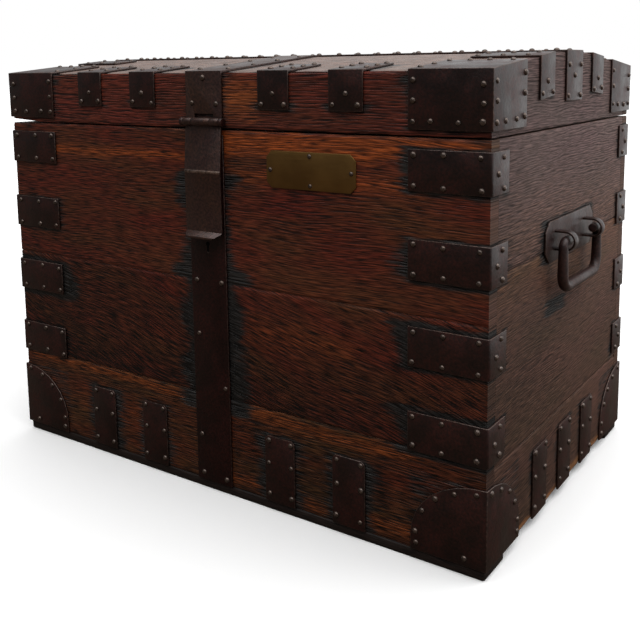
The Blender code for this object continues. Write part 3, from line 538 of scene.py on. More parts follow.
# Light grey iron: rubbed bright, with a painted highlight, for the hasp's ridge and the slot's glint
RUBBED_HIGHLIT_IRON = iron("rubbed_ridge_highlight_iron", "#7a6a62", "#6e5a4e", 0.30, 0.8)
DULL_IRON = iron("dull_iron", "#291817", "#2e1812", 0.36, 0.2, 0.45)
WAXED_IRON = iron("waxed_iron", "#1b0807", "#280b08", 0.34, 0.25, 0.35)
CENTRE_IRONS = {"lid_centre_strap": HANDLED_IRON, "front_centre_strap": WAXED_IRON}
# Near black: the painted shade of the slot's hole
HOLE_SHADE_IRON = iron("hole_shade_black", "#040303", "#070505", 0.7, 0.0, 0.1)
STUD_IRON = iron("stud_iron", "#51453e", "#4b3d35", 0.10, 0.65)
BRASS = brass("patinated_brass")
BAIZE = baize("green_baize")


def finish(shape, name, materials, body, replaced=()):
    """Turns a bmesh into a piece that rides on a body of the chest."""
    mesh = bpy.data.meshes.new(name)
    shape.to_mesh(mesh)
    shape.free()
    for material in materials:
        mesh.materials.append(material)
    mesh.set_sharp_from_angle(angle=SHADE_TURN)
    piece = bpy.data.objects.new(name, mesh)
    bpy.context.scene.collection.objects.link(piece)
    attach(piece, body)
    if replaced:
        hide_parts(*replaced)
    return piece


def both_sides(middle, half):
    return middle - half, middle + half


def across_strap(middle):
    return both_sides(middle, STRAP_WIDTH / 2)


def lid_height(depth):
    """Height of the lid's top at this depth: a flat crown between two slopes."""
    return CROWN_TOP - SLOPE * max(abs(depth) - CROWN_HALF, 0)


def smooth(value):
    value = min(max(value, 0), 1)
    return value * value * (3 - 2 * value)


def longest_axis(vector):
    return max(range(3), key=lambda axis: abs(vector[axis]))


def patches(along, across, size, layer):
    """Smooth noise in patches of this length and width. Each layer, a seed plus any number, has its own."""
    return noise.noise((along / size[0], across / size[1], layer))


def bent_fibre(along, across, seed, look):
    """Place across the board at which a fibre would lie if the grain ran straight."""
    wave = patches(along, across, FIGURE_PATCH, seed)
    return across + look.tilt * along + look.figure * wave


def raised_grain(along, across, seed, look):
    """Height of the worn grain, from 0 in the grooves of soft early wood to 1 on the hard ridges."""
    drift = RING_SWAY * patches(along, across, (RING_DRIFT, 3 * look.pitch), seed + 11)
    drift += RING_SHAKE * patches(along, across, (RING_WOBBLE, 2 * look.pitch), seed + 17)
    ring = math.cos(math.tau * (across / look.pitch + drift))
    broken = patches(along, across, (look.fibre, FIBRE_WIDTH), seed + 23)
    return 1 - smooth(look.ring * ring + (LINE_STRENGTH - look.ring) * broken + GROOVE_SHARE)


def iron_stain(along, across, irons, seed):
    """Blue-black stain from the iron: it creeps further along the grain than across it."""
    ragged = STAIN_RAGGED * patches(along, across, STAIN_RAG, seed + 37)
    patchy = STAIN_SHARE + STAIN_SPREAD * patches(along, across, STAIN_PATCH, seed + 41)
    worst = 0
    for left, right, low, high, strength in irons:
        out_along = max(left - along, along - right, 0) / STAIN_ALONG
        out_across = max(low - across, across - high, 0) / STAIN_ACROSS
        worst = max(worst, strength * patchy - math.hypot(out_along, out_across) - ragged)
    return smooth(STAIN_CRISP * worst)


def streak_warmth(along, across, streaks, seed):
    """Honey-coloured streaks of sapwood and bare wood."""
    wander = STREAK_WANDER * noise.noise((along / STREAK_BEND, seed + 51, 0))
    ragged = STREAK_RAGGED * patches(along, across, STREAK_RAG, seed + 53)
    most = 0
    for left, right, middle, half, strength in streaks:
        off_across = abs(across - middle - wander) / half
        off_along = max(left - along, along - right, 0) / STREAK_END
        most = max(most, strength * (STREAK_FULL - off_across - off_along + ragged))
    return smooth(most)


# Figure is the wave of the grain, tilt its slant, fibre the length of its lines, pitch the width of a year
# ring and ring how evenly the lines follow the rings. Tone is the board's shade, fade and lift its change
# along and across the board, relief the depth of the grooves, and rub the share of them that wear and wax
# have closed
Look = collections.namedtuple("Look", "figure tilt fibre pitch ring tone fade lift relief rub")
PLAIN = Look(0.007, 0.0, 0.030, RING_WIDTH, 0.55, 0.0, 0.0, 0.0, RELIEF, 0.4)
LID_RAIL = Look(0.004, 0.0, 0.080, RING_WIDTH, 0.8, 0.04, -0.1, 0.0, RELIEF, 0.1)
LID_END = Look(0.005, 0.0, 0.120, SIDE_RING_WIDTH, 1.1, 0.12, 0.1, 0.0, SIDE_RELIEF, 0.3)
FRONT_LOOKS = [
    Look(0.004, 0.0, 0.035, RING_WIDTH, 0.6, -0.30, -0.20, 0.0, RELIEF, 0.15),
    Look(0.016, 0.25, 0.024, RING_WIDTH, 0.6, -0.53, 0.34, 0.48, RELIEF, 0.1),
    Look(0.009, 0.02, 0.050, RING_WIDTH, 0.65, -0.15, 0.24, 0.0, RELIEF, 0.4),
]
# The side's top board is lighter, and lighter still towards its top: a painted sheen
SIDE_LOOKS = [
    Look(0.006, 0.0, 0.120, SIDE_RING_WIDTH, 1.2, -0.10, 0.26, 0.1, SIDE_RELIEF, 0.6),
    Look(0.006, 0.0, 0.120, SIDE_RING_WIDTH, 1.2, -0.08, 0.26, 0.1, SIDE_RELIEF, 0.6),
    Look(0.006, 0.0, 0.120, SIDE_RING_WIDTH, 1.2, 0.0, 0.40, 0.5, SIDE_RELIEF, 0.3),
]


def face_grid(corner, along, across, outward, step_along, step_across):
    """A flat grid over one face of a board or sheet. Along and across run from the face's corner."""
    shape = bmesh.new()
    columns = max(2, round(along.length / step_along))
    rows = max(2, round(across.length / step_across))
    axes = Matrix((along, across, outward)).transposed().to_4x4()
    middle = Matrix.Translation(corner + (along + across) / 2)
    bmesh.ops.create_grid(shape, x_segments=columns, y_segments=rows, size=0.5, matrix=middle @ axes)
    return shape


def plank(corner, along, across, outward, thick, seed, irons=(), streaks=(), look=PLAIN):
    """A board with raised grain on its outward face. Along and across run from the corner of that face."""
    shape = face_grid(corner, along, across, outward, GRAIN_STEP_ALONG, GRAIN_STEP_ACROSS)
    fibre = shape.verts.layers.float_vector.new("fibre")
    layers = {mark: shape.verts.layers.float.new(mark) for mark in MARKS}
    one, two = along.normalized(), across.normalized()
    first, second = longest_axis(one), longest_axis(two)
    for vert in shape.verts:
        run, rise = (vert.co - corner).dot(one), (vert.co - corner).dot(two)
        bent = bent_fibre(run, rise, seed, look)
        stain = iron_stain(vert.co[first], vert.co[second], irons, seed)
        smoothed = smooth(RUBBED_SHARE + patches(run, rise, RUBBED_PATCH, seed + 71))
        rubbed = look.rub * (1 - stain) * smoothed
        height = 1 - (1 - raised_grain(run, bent, seed, look)) * (1 - rubbed)
        edge = min(rise, across.length - rise)
        uneven = WORN_SHARE + WORN_SPREAD * patches(run, rise, WORN_PATCH, seed)
        worn = ARRIS_WEAR * smooth(1 - edge / ARRIS_REACH) * uneven
        vert[fibre] = Vector((run, bent, seed))
        vert[layers["grain"]] = height
        vert[layers["stain"]] = stain
        vert[layers["warm"]] = streak_warmth(vert.co[first], vert.co[second], streaks, seed)
        tone = look.tone + look.fade * (run / along.length - 0.5) + look.lift * (rise / across.length - 0.5)
        vert[layers["tone"]] = tone + TONE_SPREAD * patches(run, rise, TONE_PATCH, seed + 61)
        vert.co -= outward * (look.relief * (1 + stain) * (1 - height) + worn)
    relief = list(shape.faces)
    for deep in (2 * ARRIS_WEAR, thick):
        rim = [edge for edge in shape.edges if edge.is_boundary]
        grown = bmesh.ops.extrude_edge_only(shape, edges=rim)["geom"]
        for vert in [each for each in grown if isinstance(each, bmesh.types.BMVert)]:
            vert.co -= outward * ((vert.co - corner).dot(outward) + deep)
            rise = (vert.co - corner).dot(two)
            on_long_edge = abs(rise - across.length / 2) > 0.499 * across.length
            if on_long_edge:
                vert[fibre] += Vector((0, deep, 0))
                vert[layers["grain"]] = EDGE_GRAIN
    bmesh.ops.holes_fill(shape, edges=[edge for edge in shape.edges if edge.is_boundary])
    bmesh.ops.recalc_face_normals(shape, faces=shape.faces)
    for face in shape.faces:
        face.smooth = True
        face.material_index = longest_axis(face.normal)
    for face in relief:
        face.material_index = longest_axis(outward)
    return shape


def mark_grain(shape, verts):
    """Gives plain wood its fibres, which run along the chest."""
    fibre = shape.verts.layers.float_vector.get("fibre") or shape.verts.layers.float_vector.new("fibre")
    grain = shape.verts.layers.float.get("grain") or shape.verts.layers.float.new("grain")
    for vert in verts:
        vert[fibre] = Vector((vert.co.x, vert.co.y + vert.co.z, 0))
        vert[grain] = PLAIN_GRAIN


def add_slab(shape, low, high):
    """Adds a plain block of wood behind a plank's face."""
    low, high = Vector(low), Vector(high)
    place = Matrix.Translation((low + high) / 2) @ Matrix.Diagonal((*(high - low), 1))
    made = bmesh.ops.create_cube(shape, size=1, matrix=place)["verts"]
    mark_grain(shape, made)
    for face in {face for vert in made for face in vert.link_faces}:
        face.normal_update()
        face.material_index = longest_axis(face.normal)


def spread_middles(low, high, widths):
    """Middles of pieces that stand between two ends with equal gaps, as the solids have them."""
    gap = (high - low - sum(widths)) / (len(widths) + 1)
    found = []
    for width in widths:
        low += gap
        found.append(low + width / 2)
        low += width
    return found


RIGHT_STRAPS = spread_middles(CENTRE_HALF, HALF_WIDTH - CORNER_REACH, [STRAP_WIDTH] * 2)
FRONT_STRAPS = [-RIGHT_STRAPS[1], -RIGHT_STRAPS[0], *RIGHT_STRAPS]
SIDE_STRAPS = spread_middles(FOOT_REACH - HALF_DEPTH, HALF_DEPTH - FOOT_REACH, [STRAP_WIDTH] * 3)
END_CLEAR = HALF_DEPTH - PLATE_END_REACH
END_STRAP = spread_middles(-END_CLEAR, END_CLEAR, [STRAP_WIDTH, 2 * CENTRE_HALF, STRAP_WIDTH])[2]
END_STRAPS = [-END_STRAP, END_STRAP]


def footprint(node, first, strength):
    """The place of an iron on an upright face, for its stain. First is the axis along the face."""
    low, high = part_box(node)
    return low[first], high[first], low.z, high.z, strength


def body_footprints(end, bleeds, first, straps):
    """Footprints of the iron on an upright face of the body. Bleeds are those of a hand's corner straps."""
    found = []
    for hand, strengths in bleeds.items():
        for step, strength in enumerate(strengths):
            node = f"corner_strap_{end}_{hand}_{step + 1}"
            left, right, low, high, strength = footprint(node, first, strength)
            found.append((left, right, low - STAIN_DRIP, high, strength))
        found.append(footprint(f"foot_plate_{end}_{hand}", first, rng.uniform(*FOOT_BLEED)))
    for middle in straps:
        strength = rng.uniform(*BOTTOM_BLEED)
        found.append((*across_strap(middle), BODY_LOW, BOTTOM_STRAP_TOP, strength))
    return found


def courses(corner, seams):
    """Lower corner and height of each board of a wall, from the lowest up, above the wall's own corner."""
    found = []
    for low, high in zip(seams, seams[1:]):
        found.append((corner + UP * (low + SEAM_GAP / 2), UP * (high - low - SEAM_GAP)))
    return found


def sink_keyhole(shape):
    """A pit behind the keyhole of the centre strap."""
    for vert in shape.verts:
        near = abs(vert.co.x - KEYHOLE.x) < KEYHOLE_ROOM / 2 and abs(vert.co.z - KEYHOLE.z) < KEYHOLE_ROOM
        if near and vert.co.y < -HALF_DEPTH + WALL / 2:
            vert.co.y += KEYHOLE_PIT


def build_front():
    irons = body_footprints("front", FRONT_BLEED, 0, FRONT_STRAPS) + CENTRE_STAINS
    along = RIGHT * 2 * HALF_WIDTH
    wall = courses(Vector((-HALF_WIDTH, -HALF_DEPTH, 0)), FRONT_SEAMS)
    for index, (corner, across) in enumerate(wall):
        seed, look = FRONT_SEED + index, FRONT_LOOKS[index]
        shape = plank(corner, along, across, FRONT, WALL, seed, irons, FRONT_STREAKS, look)
        if index == 2:
            sink_keyhole(shape)
        finish(shape, f"front_plank_{index + 1}", FRONT_WOODS[index], "chest", ["body_front"])


def build_sides():
    inner = HALF_DEPTH - WALL - REBATE
    along = BACK * 2 * inner
    for hand, side in HANDS:
        # The stain round the handle plate carries a painted shadow as well
        irons = [footprint(f"handle_plate_{hand}", 1, HANDLE_STAIN_AND_SHADOW), HANDLE_SCUFF]
        for end, turn in ENDS:
            irons += body_footprints(end, {hand: PLAIN_BLEED}, 1, [])
        for middle in SIDE_STRAPS:
            irons.append((*across_strap(middle), BODY_LOW, BOTTOM_STRAP_TOP, SIDE_BOTTOM_BLEED))
        wall = courses(Vector((side * HALF_WIDTH, -inner, 0)), SIDE_SEAMS)
        for index, (corner, across) in enumerate(wall):
            seed, look = SIDE_SEED + index, SIDE_LOOKS[index]
            shape = plank(corner, along, across, RIGHT * side, WALL, seed, irons, SIDE_STREAKS, look)
            finish(shape, f"{hand}_plank_{index + 1}", SIDE_WOODS[index], "chest", [f"body_{hand}"])


def build_back():
    irons = body_footprints("back", {"left": PLAIN_BLEED, "right": PLAIN_BLEED}, 0, [])
    along = RIGHT * -2 * HALF_WIDTH
    wall = courses(Vector((HALF_WIDTH, HALF_DEPTH, 0)), BACK_SEAMS)
    for index, (corner, across) in enumerate(wall):
        shape = plank(corner, along, across, BACK, WALL, BACK_SEED + index, irons)
        finish(shape, f"back_plank_{index + 1}", BACK_OAKS, "chest", ["body_back"])


def open_gap(shape, distance):
    """Lifts the lid's lower edge towards its front left corner, where the joint has opened."""
    for vert in shape.verts:
        near = min(max(1 - distance(vert.co) / GAP_REACH, 0), 1)
        low = min(max(1 - (vert.co.z - LID_LOW) / GAP_RISE, 0), 1)
        vert.co.z += GAP_LIFT * near * low


def build_lid_rails():
    """Front and back boards of the lid, each with the slab behind it on which the top boards lie."""
    outer = HALF_DEPTH - BED_DEPTH - REBATE
    across = UP * (lid_height(HALF_DEPTH) - LID_LOW)
    slab_top = lid_height(BED_DEPTH) - LID_BED
    for end, turn in ENDS:
        irons = [footprint(f"lid_corner_{end}_{hand}", 0, LID_CORNER_BLEED) for hand, side in HANDS]
        if turn < 0:
            stain_top = LID_STRAP_LOW + LID_BLEED_HEIGHT
            for middle, strength in zip(FRONT_STRAPS, LID_BLEED):
                irons.append((*across_strap(middle), LID_STRAP_LOW, stain_top, strength))
            irons.append(footprint("lid_centre_strap", 0, LID_CENTRE_BLEED))
        corner = Vector((turn * HALF_WIDTH, turn * HALF_DEPTH, LID_LOW))
        along = RIGHT * -turn * 2 * HALF_WIDTH
        seed = LID_RAIL_SEED + turn
        shape = plank(corner, along, across, BACK * turn, outer, seed, irons, LID_STREAKS, LID_RAIL)
        depths = sorted((turn * (HALF_DEPTH - WALL), turn * (HALF_DEPTH - outer)))
        add_slab(shape, (-HALF_WIDTH, depths[0], LID_LOW), (HALF_WIDTH, depths[1], slab_top))
        if turn < 0:
            open_gap(shape, lambda place: place.x + HALF_WIDTH)
        finish(shape, f"lid_{end}_rail", RAIL_WOODS[end], "lid", [f"lid_{end}"])


def build_lid_ends():
    """End boards of the lid, cut to the slopes of its top, each with its slab behind it."""
    between = HALF_DEPTH - WALL - REBATE
    outer = HALF_WIDTH - BED_WIDTH - REBATE
    across = UP * (CROWN_TOP - LID_LOW)
    along = BACK * 2 * between
    slab_top = lid_height(between) - LID_BED
    for hand, side in HANDS:
        irons = [(*across_strap(y), END_STRAP_LOW, CROWN_TOP, LID_END_BLEED) for y in END_STRAPS]
        corner = Vector((side * HALF_WIDTH, -between, LID_LOW))
        shape = plank(corner, along, across, RIGHT * side, outer, LID_END_SEED + side, irons, (), LID_END)
        for end, turn in ENDS:
            place = Vector((0, turn * CROWN_HALF, CROWN_TOP))
            normal = Vector((0, turn * SLOPE, 1)).normalized()
            everything = [*shape.verts, *shape.edges, *shape.faces]
            bmesh.ops.bisect_plane(shape, geom=everything, plane_co=place, plane_no=normal, clear_outer=True)
            bmesh.ops.holes_fill(shape, edges=[each for each in shape.edges if each.is_boundary])
        widths = sorted((side * (HALF_WIDTH - WALL), side * (HALF_WIDTH - outer)))
        add_slab(shape, (widths[0], -between, LID_LOW), (widths[1], between, slab_top))
        if side < 0:
            open_gap(shape, lambda place: place.y + HALF_DEPTH)
        finish(shape, f"lid_{hand}_end", GREY_OAKS, "lid", [f"lid_{hand}"])


def build_lid_top():
    """The lid's three top boards: a front slope, a flat crown and a back slope."""
    joint = SEAM_GAP / 2
    along = RIGHT * 2 * BED_WIDTH
    strap_end = -HALF_DEPTH + LID_STRAP_RETURN
    irons = [(*across_strap(x), -BED_DEPTH, strap_end, LID_TOP_BLEED) for x in FRONT_STRAPS]
    irons.append((-CENTRE_HALF, CENTRE_HALF, -BED_DEPTH, BED_DEPTH, LID_TOP_CENTRE_BLEED))
    for name, low, high in (
        ("front", -BED_DEPTH, -CROWN_HALF - joint),
        ("crown", -CROWN_HALF + joint, CROWN_HALF - joint),
        ("back", CROWN_HALF + joint, BED_DEPTH),
    ):
        corner = Vector((-BED_WIDTH, low, lid_height(low)))
        across = Vector((0, high - low, lid_height(high) - lid_height(low)))
        outward = along.cross(across).normalized()
        shape = plank(corner, along, across, outward, LID_BOARD, LID_TOP_SEEDS[name], irons)
        finish(shape, f"lid_{name}_board", OAKS, "lid", [f"lid_board_{name}"])


def soften(shape, width):
    """Rounds the sharp edges, as hammering and wear do, and gives them the second material, which on iron is
    lighter for wear and a painted highlight.
    """
    for face in shape.faces:
        turns = [edge.calc_face_angle() for edge in face.edges if edge.is_manifold]
        face.smooth = any(ROUND_TURN < turn < SHARP_TURN for turn in turns)
    sharp = [edge for edge in shape.edges if edge.is_manifold and edge.calc_face_angle() > SHARP_TURN]
    rounding = {"affect": "EDGES", "segments": 2, "profile": 0.5, "material": -1, "clamp_overlap": True}
    rounded = bmesh.ops.bevel(shape, geom=sharp, offset=width, **rounding)
    for face in rounded["faces"]:
        face.smooth = True
        face.material_index = 1


def forged(node, materials, slot, width=EDGE_ROUND, rework=None):
    """A copy of a solid with its sharp edges rounded, reworked first where that is asked for."""
    source = frame["nodes"][node]
    shape = bmesh.new()
    shape.from_mesh(source.data)
    bmesh.ops.remove_doubles(shape, verts=shape.verts, dist=MERGE_DISTANCE)
    bmesh.ops.dissolve_limit(shape, angle_limit=FLAT_TURN, verts=shape.verts, edges=shape.edges)
    if rework:
        rework(shape)
    soften(shape, width)
    if slot == "oak":
        mark_grain(shape, shape.verts)
    finish(shape, f"{node}_worn", materials, source["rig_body"], [node])


def thicken(shape):
    """Makes a flat shape of iron, whose faces lie outside, as thick as the straps are."""
    bmesh.ops.solidify(shape, geom=shape.faces, thickness=IRON_THICK)
    bmesh.ops.recalc_face_normals(shape, faces=shape.faces)
    soften(shape, EDGE_ROUND)


def strap(name, path, width, clip, body):
    """A flat iron strap along a path of points on its outer face, folded at each point between.

    Clip is what is cut off the corners of its far end.
    """
    shape = bmesh.new()
    line = [shape.verts.new(point - width / 2) for point in path]
    edges = [shape.edges.new(pair) for pair in zip(line, line[1:])]
    grown = bmesh.ops.extrude_edge_only(shape, edges=edges)["geom"]
    far = [each for each in grown if isinstance(each, bmesh.types.BMVert)]
    bmesh.ops.translate(shape, verts=far, vec=width)
    if clip:
        corners = [vert for vert in shape.verts if len(vert.link_edges) == 2]
        corners = [vert for vert in corners if vert.co.z > path[0].z + clip]
        cut = {"affect": "VERTICES", "segments": 1, "profile": 0.5, "material": -1}
        bmesh.ops.bevel(shape, geom=corners, offset=clip, **cut)
    bmesh.ops.recalc_face_normals(shape, faces=shape.faces)
    outward = sum((face.normal * face.calc_area() for face in shape.faces), Vector())
    if outward.dot(path[0] - CHEST_MIDDLE) < 0:
        bmesh.ops.reverse_faces(shape, faces=shape.faces)
    thicken(shape)
    finish(shape, name, [IRON, WORN_HIGHLIT_IRON], body)


def handle_plate(low, high, face, side):
    """A flat plate with clipped corners, between two corners of its box."""
    middle = (low.z + high.z) / 2
    outline = []
    for y, z, turn in ((high.y, high.z, 1), (low.y, high.z, -1), (low.y, low.z, 1), (high.y, low.z, -1)):
        corner = Vector((face, y, z))
        cuts = [
            corner + Vector((0, 0, math.copysign(HANDLE_CLIP, middle - z))),
            corner + Vector((0, -math.copysign(HANDLE_CLIP, y), 0)),
        ]
        outline += cuts[::turn]
    shape = bmesh.new()
    plate = shape.faces.new([shape.verts.new(point) for point in outline])
    plate.normal_update()
    if plate.normal.x * side < 0:
        plate.normal_flip()
    thicken(shape)
    return shape


def build_hoods(hand, side, face, axis, radius):
    """Two half-round straps on a handle's plate, in which its bail turns."""
    foot = face - side * IRON_THICK / 2
    for index, y in enumerate(both_sides(0, HOOD_SPACING / 2)):
        path = [Vector((foot, y, axis.z + radius))]
        for step in range(HOOD_STEPS + 1):
            turn = math.pi * (0.5 - step / HOOD_STEPS)
            path.append(axis + Vector((side * radius * math.cos(turn), y, radius * math.sin(turn))))
        path.append(Vector((foot, y, axis.z - radius)))
        strap(f"handle_hood_{hand}_{index + 1}", path, BACK * HOOD_WIDTH, 0, "chest")


def fatten(shape):
    """Swells a bail below its pivot, where it was forged thicker than at its turned-in ends."""
    bend = max(vert.co.z for vert in shape.verts) - BAIL_NECK
    shape.normal_update()
    for vert in shape.verts:
        vert.co += vert.normal * BAIL_SWELL * smooth((bend - vert.co.z) / BAIL_NECK)


def build_handles():
    """Plates with clipped corners and half-round hoods, in which the bails' ends turn."""
    irons = [DULL_IRON, WORN_HIGHLIT_IRON]
    for hand, side in HANDS:
        node = f"handle_plate_{hand}"
        low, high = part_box(node)
        bar_low, bar_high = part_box(f"bail_{hand}")
        bar = (bar_high.x - bar_low.x) / 2
        axis = Vector(((bar_low.x + bar_high.x) / 2, 0, bar_high.z - bar))
        hood = abs(high.x if side > 0 else low.x) - abs(axis.x)
        face = side * (HALF_WIDTH + IRON_OUT)
        finish(handle_plate(low, high, face, side), f"{node}_worn", irons, "chest", [node])
        build_hoods(hand, side, face, axis, hood)
        forged(f"bail_{hand}", irons, "iron", EDGE_ROUND, fatten)


def rub_and_highlight_ridge(shape):
    """Gives the hasp a bead along the outer bend of its flap, rubbed bright and painted lighter still as a
    highlight.
    """
    least, most = RIDGE_TURNS
    bends = []
    for edge in shape.edges:
        slant = (edge.verts[0].co - edge.verts[1].co).normalized()
        crosses = abs(slant.x) > 0.99 and edge.calc_length() > 1.5 * CENTRE_HALF
        if crosses and edge.is_manifold and least < edge.calc_face_angle() < most:
            bends.append(edge)
    outer = min(bends, key=lambda edge: edge.verts[0].co.y)
    ridge = outer.verts[0].co.z
    rounding = {"affect": "EDGES", "segments": 4, "profile": 0.5, "material": -1}
    rubbed = bmesh.ops.bevel(shape, geom=[outer], offset=RIDGE_HALF, **rounding)
    # The bead takes the rubbed iron with its painted highlight
    for face in rubbed["faces"]:
        face.material_index = 2
    for vert in rubbed["verts"]:
        vert.co.y -= RIDGE_BEAD * smooth(1 - abs(vert.co.z - ridge) / RIDGE_HALF)


def build_ironwork():
    build_handles()
    forged("hasp", [HANDLED_IRON, WORN_HIGHLIT_IRON, RUBBED_HIGHLIT_IRON], "iron", EDGE_ROUND, rub_and_highlight_ridge)
    for entry in frame["record"]["subparts"]:
        node = entry["node"]
        if entry["material_slot"] == "iron" and not node.startswith(("bail", "handle_plate", "hasp")):
            forged(node, [CENTRE_IRONS.get(node, IRON), WORN_HIGHLIT_IRON], "iron")
    forged("hasp_pin", [IRON, WORN_HIGHLIT_IRON], "iron")
    forged("name_plaque", [BRASS, BRASS], "brass", PLAQUE_ROUND)
    # Runners and bottom in near-black oak, the painted shade under the chest
    for node in ("runner_front", "runner_back", "body_floor"):
        forged(node, [OAK_SHADE_BLACK, OAK_SHADE_BLACK], "oak", RUNNER_ROUND)


def build_small_straps():
    face = -HALF_DEPTH - IRON_OUT
    back = -HALF_DEPTH + LID_STRAP_RETURN
    across = RIGHT * STRAP_WIDTH
    for index, x in enumerate(FRONT_STRAPS):
        path = [Vector((x, face, BODY_LOW)), Vector((x, face, BOTTOM_STRAP_TOP))]
        strap(f"front_bottom_strap_{index + 1}", path, across, BOTTOM_STRAP_CLIP, "chest")
        path = [
            Vector((x, face, LID_STRAP_LOW)),
            Vector((x, face, lid_height(face) + IRON_OUT)),
            Vector((x, back, lid_height(back) + IRON_OUT)),
        ]
        strap(f"lid_front_strap_{index + 1}", path, across, 0, "lid")
    across = BACK * STRAP_WIDTH
    for hand, side in HANDS:
        face = side * (HALF_WIDTH + IRON_OUT)
        for index, y in enumerate(SIDE_STRAPS):
            path = [Vector((face, y, BODY_LOW)), Vector((face, y, BOTTOM_STRAP_TOP))]
            strap(f"{hand}_bottom_strap_{index + 1}", path, across, BOTTOM_STRAP_CLIP, "chest")
        for (end, turn), y in zip(ENDS, END_STRAPS):
            near, far = [lid_height(edge) for edge in across_strap(y)]
            top = (far + near) / 2 + IRON_OUT
            path = [
                Vector((face, y, END_STRAP_LOW)),
                Vector((face, y, top)),
                Vector((side * (HALF_WIDTH - END_STRAP_RETURN), y, top)),
            ]
            strap(f"lid_{hand}_strap_{end}", path, Vector((0, STRAP_WIDTH, far - near)), 0, "lid")


def stud_template():
    """A round stud head, domed like a boot nail."""
    shape = bmesh.new()
    line = [shape.verts.new((across * STUD_RADIUS, 0, up * STUD_HEIGHT)) for across, up in STUD_PROFILE]
    edges = [shape.edges.new(pair) for pair in zip(line, line[1:])]
    turn = {"cent": (0, 0, 0), "axis": (0, 0, 1), "angle": math.tau, "steps": STUD_STEPS, "use_merge": True}
    bmesh.ops.spin(shape, geom=[*line, *edges], **turn)
    bmesh.ops.remove_doubles(shape, verts=shape.verts, dist=MERGE_DISTANCE)
    bmesh.ops.recalc_face_normals(shape, faces=shape.faces)
    for face in shape.faces:
        face.smooth = True
    mesh = bpy.data.meshes.new("stud")
    shape.to_mesh(mesh)
    shape.free()
    return mesh


STUD = stud_template()


def stray(reach):
    return Vector([rng.uniform(-reach, reach) for axis in range(3)])


def build_studs(name, places, material, body, scale=1.0):
    """Studs of which no two sit quite alike. Each place is a point and its outward direction."""
    shape = bmesh.new()
    count = 0
    for place, outward in places:
        shape.from_mesh(STUD)
        shape.verts.ensure_lookup_table()
        turn = (outward + stray(STUD_LEAN)).to_track_quat("Z", "Y").to_matrix().to_4x4()
        size = scale * rng.uniform(*STUD_SIZES)
        shift = stray(1) * STUD_STRAY
        shift -= outward * shift.dot(outward)
        matrix = Matrix.Translation(place + shift) @ turn @ Matrix.Scale(size, 4)
        bmesh.ops.transform(shape, matrix=matrix, verts=shape.verts[count:])
        count = len(shape.verts)
    finish(shape, name, [material], body)


def on_front(x, z, turn=-1):
    return Vector((x, turn * (HALF_DEPTH + IRON_OUT), z)), Vector((0, turn, 0))


def on_end(side, y, z):
    return Vector((side * (HALF_WIDTH + IRON_OUT), y, z)), Vector((side, 0, 0))


def on_lid(x, y):
    normal = Vector((0, math.copysign(SLOPE, y) if abs(y) > CROWN_HALF else 0, 1)).normalized()
    return Vector((x, y, lid_height(y) + IRON_OUT)), normal


def corner_stud_places(end, turn, hand, side):
    """Studs of one upright corner's four straps and of its foot plate."""
    places = []
    for step in range(1, 5):
        low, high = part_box(f"corner_strap_{end}_{hand}_{step}")
        middle = (low.z + high.z) / 2
        for inset in CORNER_STUDS:
            for z in both_sides(middle, STRAP_STUD):
                places.append(on_front(side * (HALF_WIDTH - inset), z, turn))
        for inset, rise in CORNER_RETURN_STUDS:
            places.append(on_end(side, turn * (HALF_DEPTH - inset), middle + rise))
    for degrees in FOOT_STUD_DEGREES:
        sweep = math.radians(degrees)
        inset = (FOOT_REACH - STUD_INSET) * math.sin(sweep)
        z = BODY_LOW + FOOT_STUD_RISE + FOOT_STUD_TALL * math.cos(sweep)
        places.append(on_front(side * (HALF_WIDTH - inset), z, turn))
        places.append(on_end(side, turn * (HALF_DEPTH - inset), z))
    inset, rise = FOOT_TIP_STUD
    places.append(on_front(side * (HALF_WIDTH - inset), BODY_LOW + rise, turn))
    places.append(on_end(side, turn * (HALF_DEPTH - inset), BODY_LOW + rise))
    inset, rise = FOOT_HEEL_STUD
    places.append(on_front(side * (HALF_WIDTH - inset), BODY_LOW + rise, turn))
    return places


def leaf_stud_places(node, heights):
    """Pairs of studs down a hinge leaf on the chest's back."""
    low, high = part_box(node)
    middle = (low.x + high.x) / 2
    return [on_front(x, z, 1) for z in heights for x in both_sides(middle, LEAF_STUD)]


def body_stud_places():
    places = []
    for end, turn in ENDS:
        for hand, side in HANDS:
            places += corner_stud_places(end, turn, hand, side)
    for middle in FRONT_STRAPS:
        for z in BOTTOM_STUDS:
            places += [on_front(x, z) for x in both_sides(middle, STRAP_STUD)]
    for hand, side in HANDS:
        for middle in SIDE_STRAPS:
            for z in SIDE_BOTTOM_STUDS:
                places += [on_end(side, y, z) for y in both_sides(middle, STRAP_STUD)]
    places += [on_front(x, z) for x, z in CENTRE_STUDS]
    for hand, side in HANDS:
        node = f"hinge_body_leaf_{hand}"
        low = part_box(node)[0].z
        heights = (low + STUD_INSET, (low + BODY_TOP) / 2, BODY_TOP - BODY_LEAF_TOP_STUD)
        places += leaf_stud_places(node, heights)
    return places


def lid_corner_stud_places(turn, side):
    """Studs of one of the lid's corner plates: on its front, its end and the lid's top."""
    places = []
    rear = turn * (HALF_DEPTH - PLATE_END_REACH + STUD_INSET)
    for inset, z in LID_CORNER_STUDS:
        places.append(on_front(side * (HALF_WIDTH - inset), z, turn))
    for inset, z in LID_RETURN_STUDS:
        places.append(on_end(side, turn * (HALF_DEPTH - inset), z))
    for inset in LID_PLATE_STUDS:
        places.append(on_lid(side * (HALF_WIDTH - inset), rear))
    for inset in LID_PLATE_EDGE_STUDS:
        places.append(on_lid(side * (HALF_WIDTH - LID_PLATE_EDGE), turn * (HALF_DEPTH - inset)))
    return places


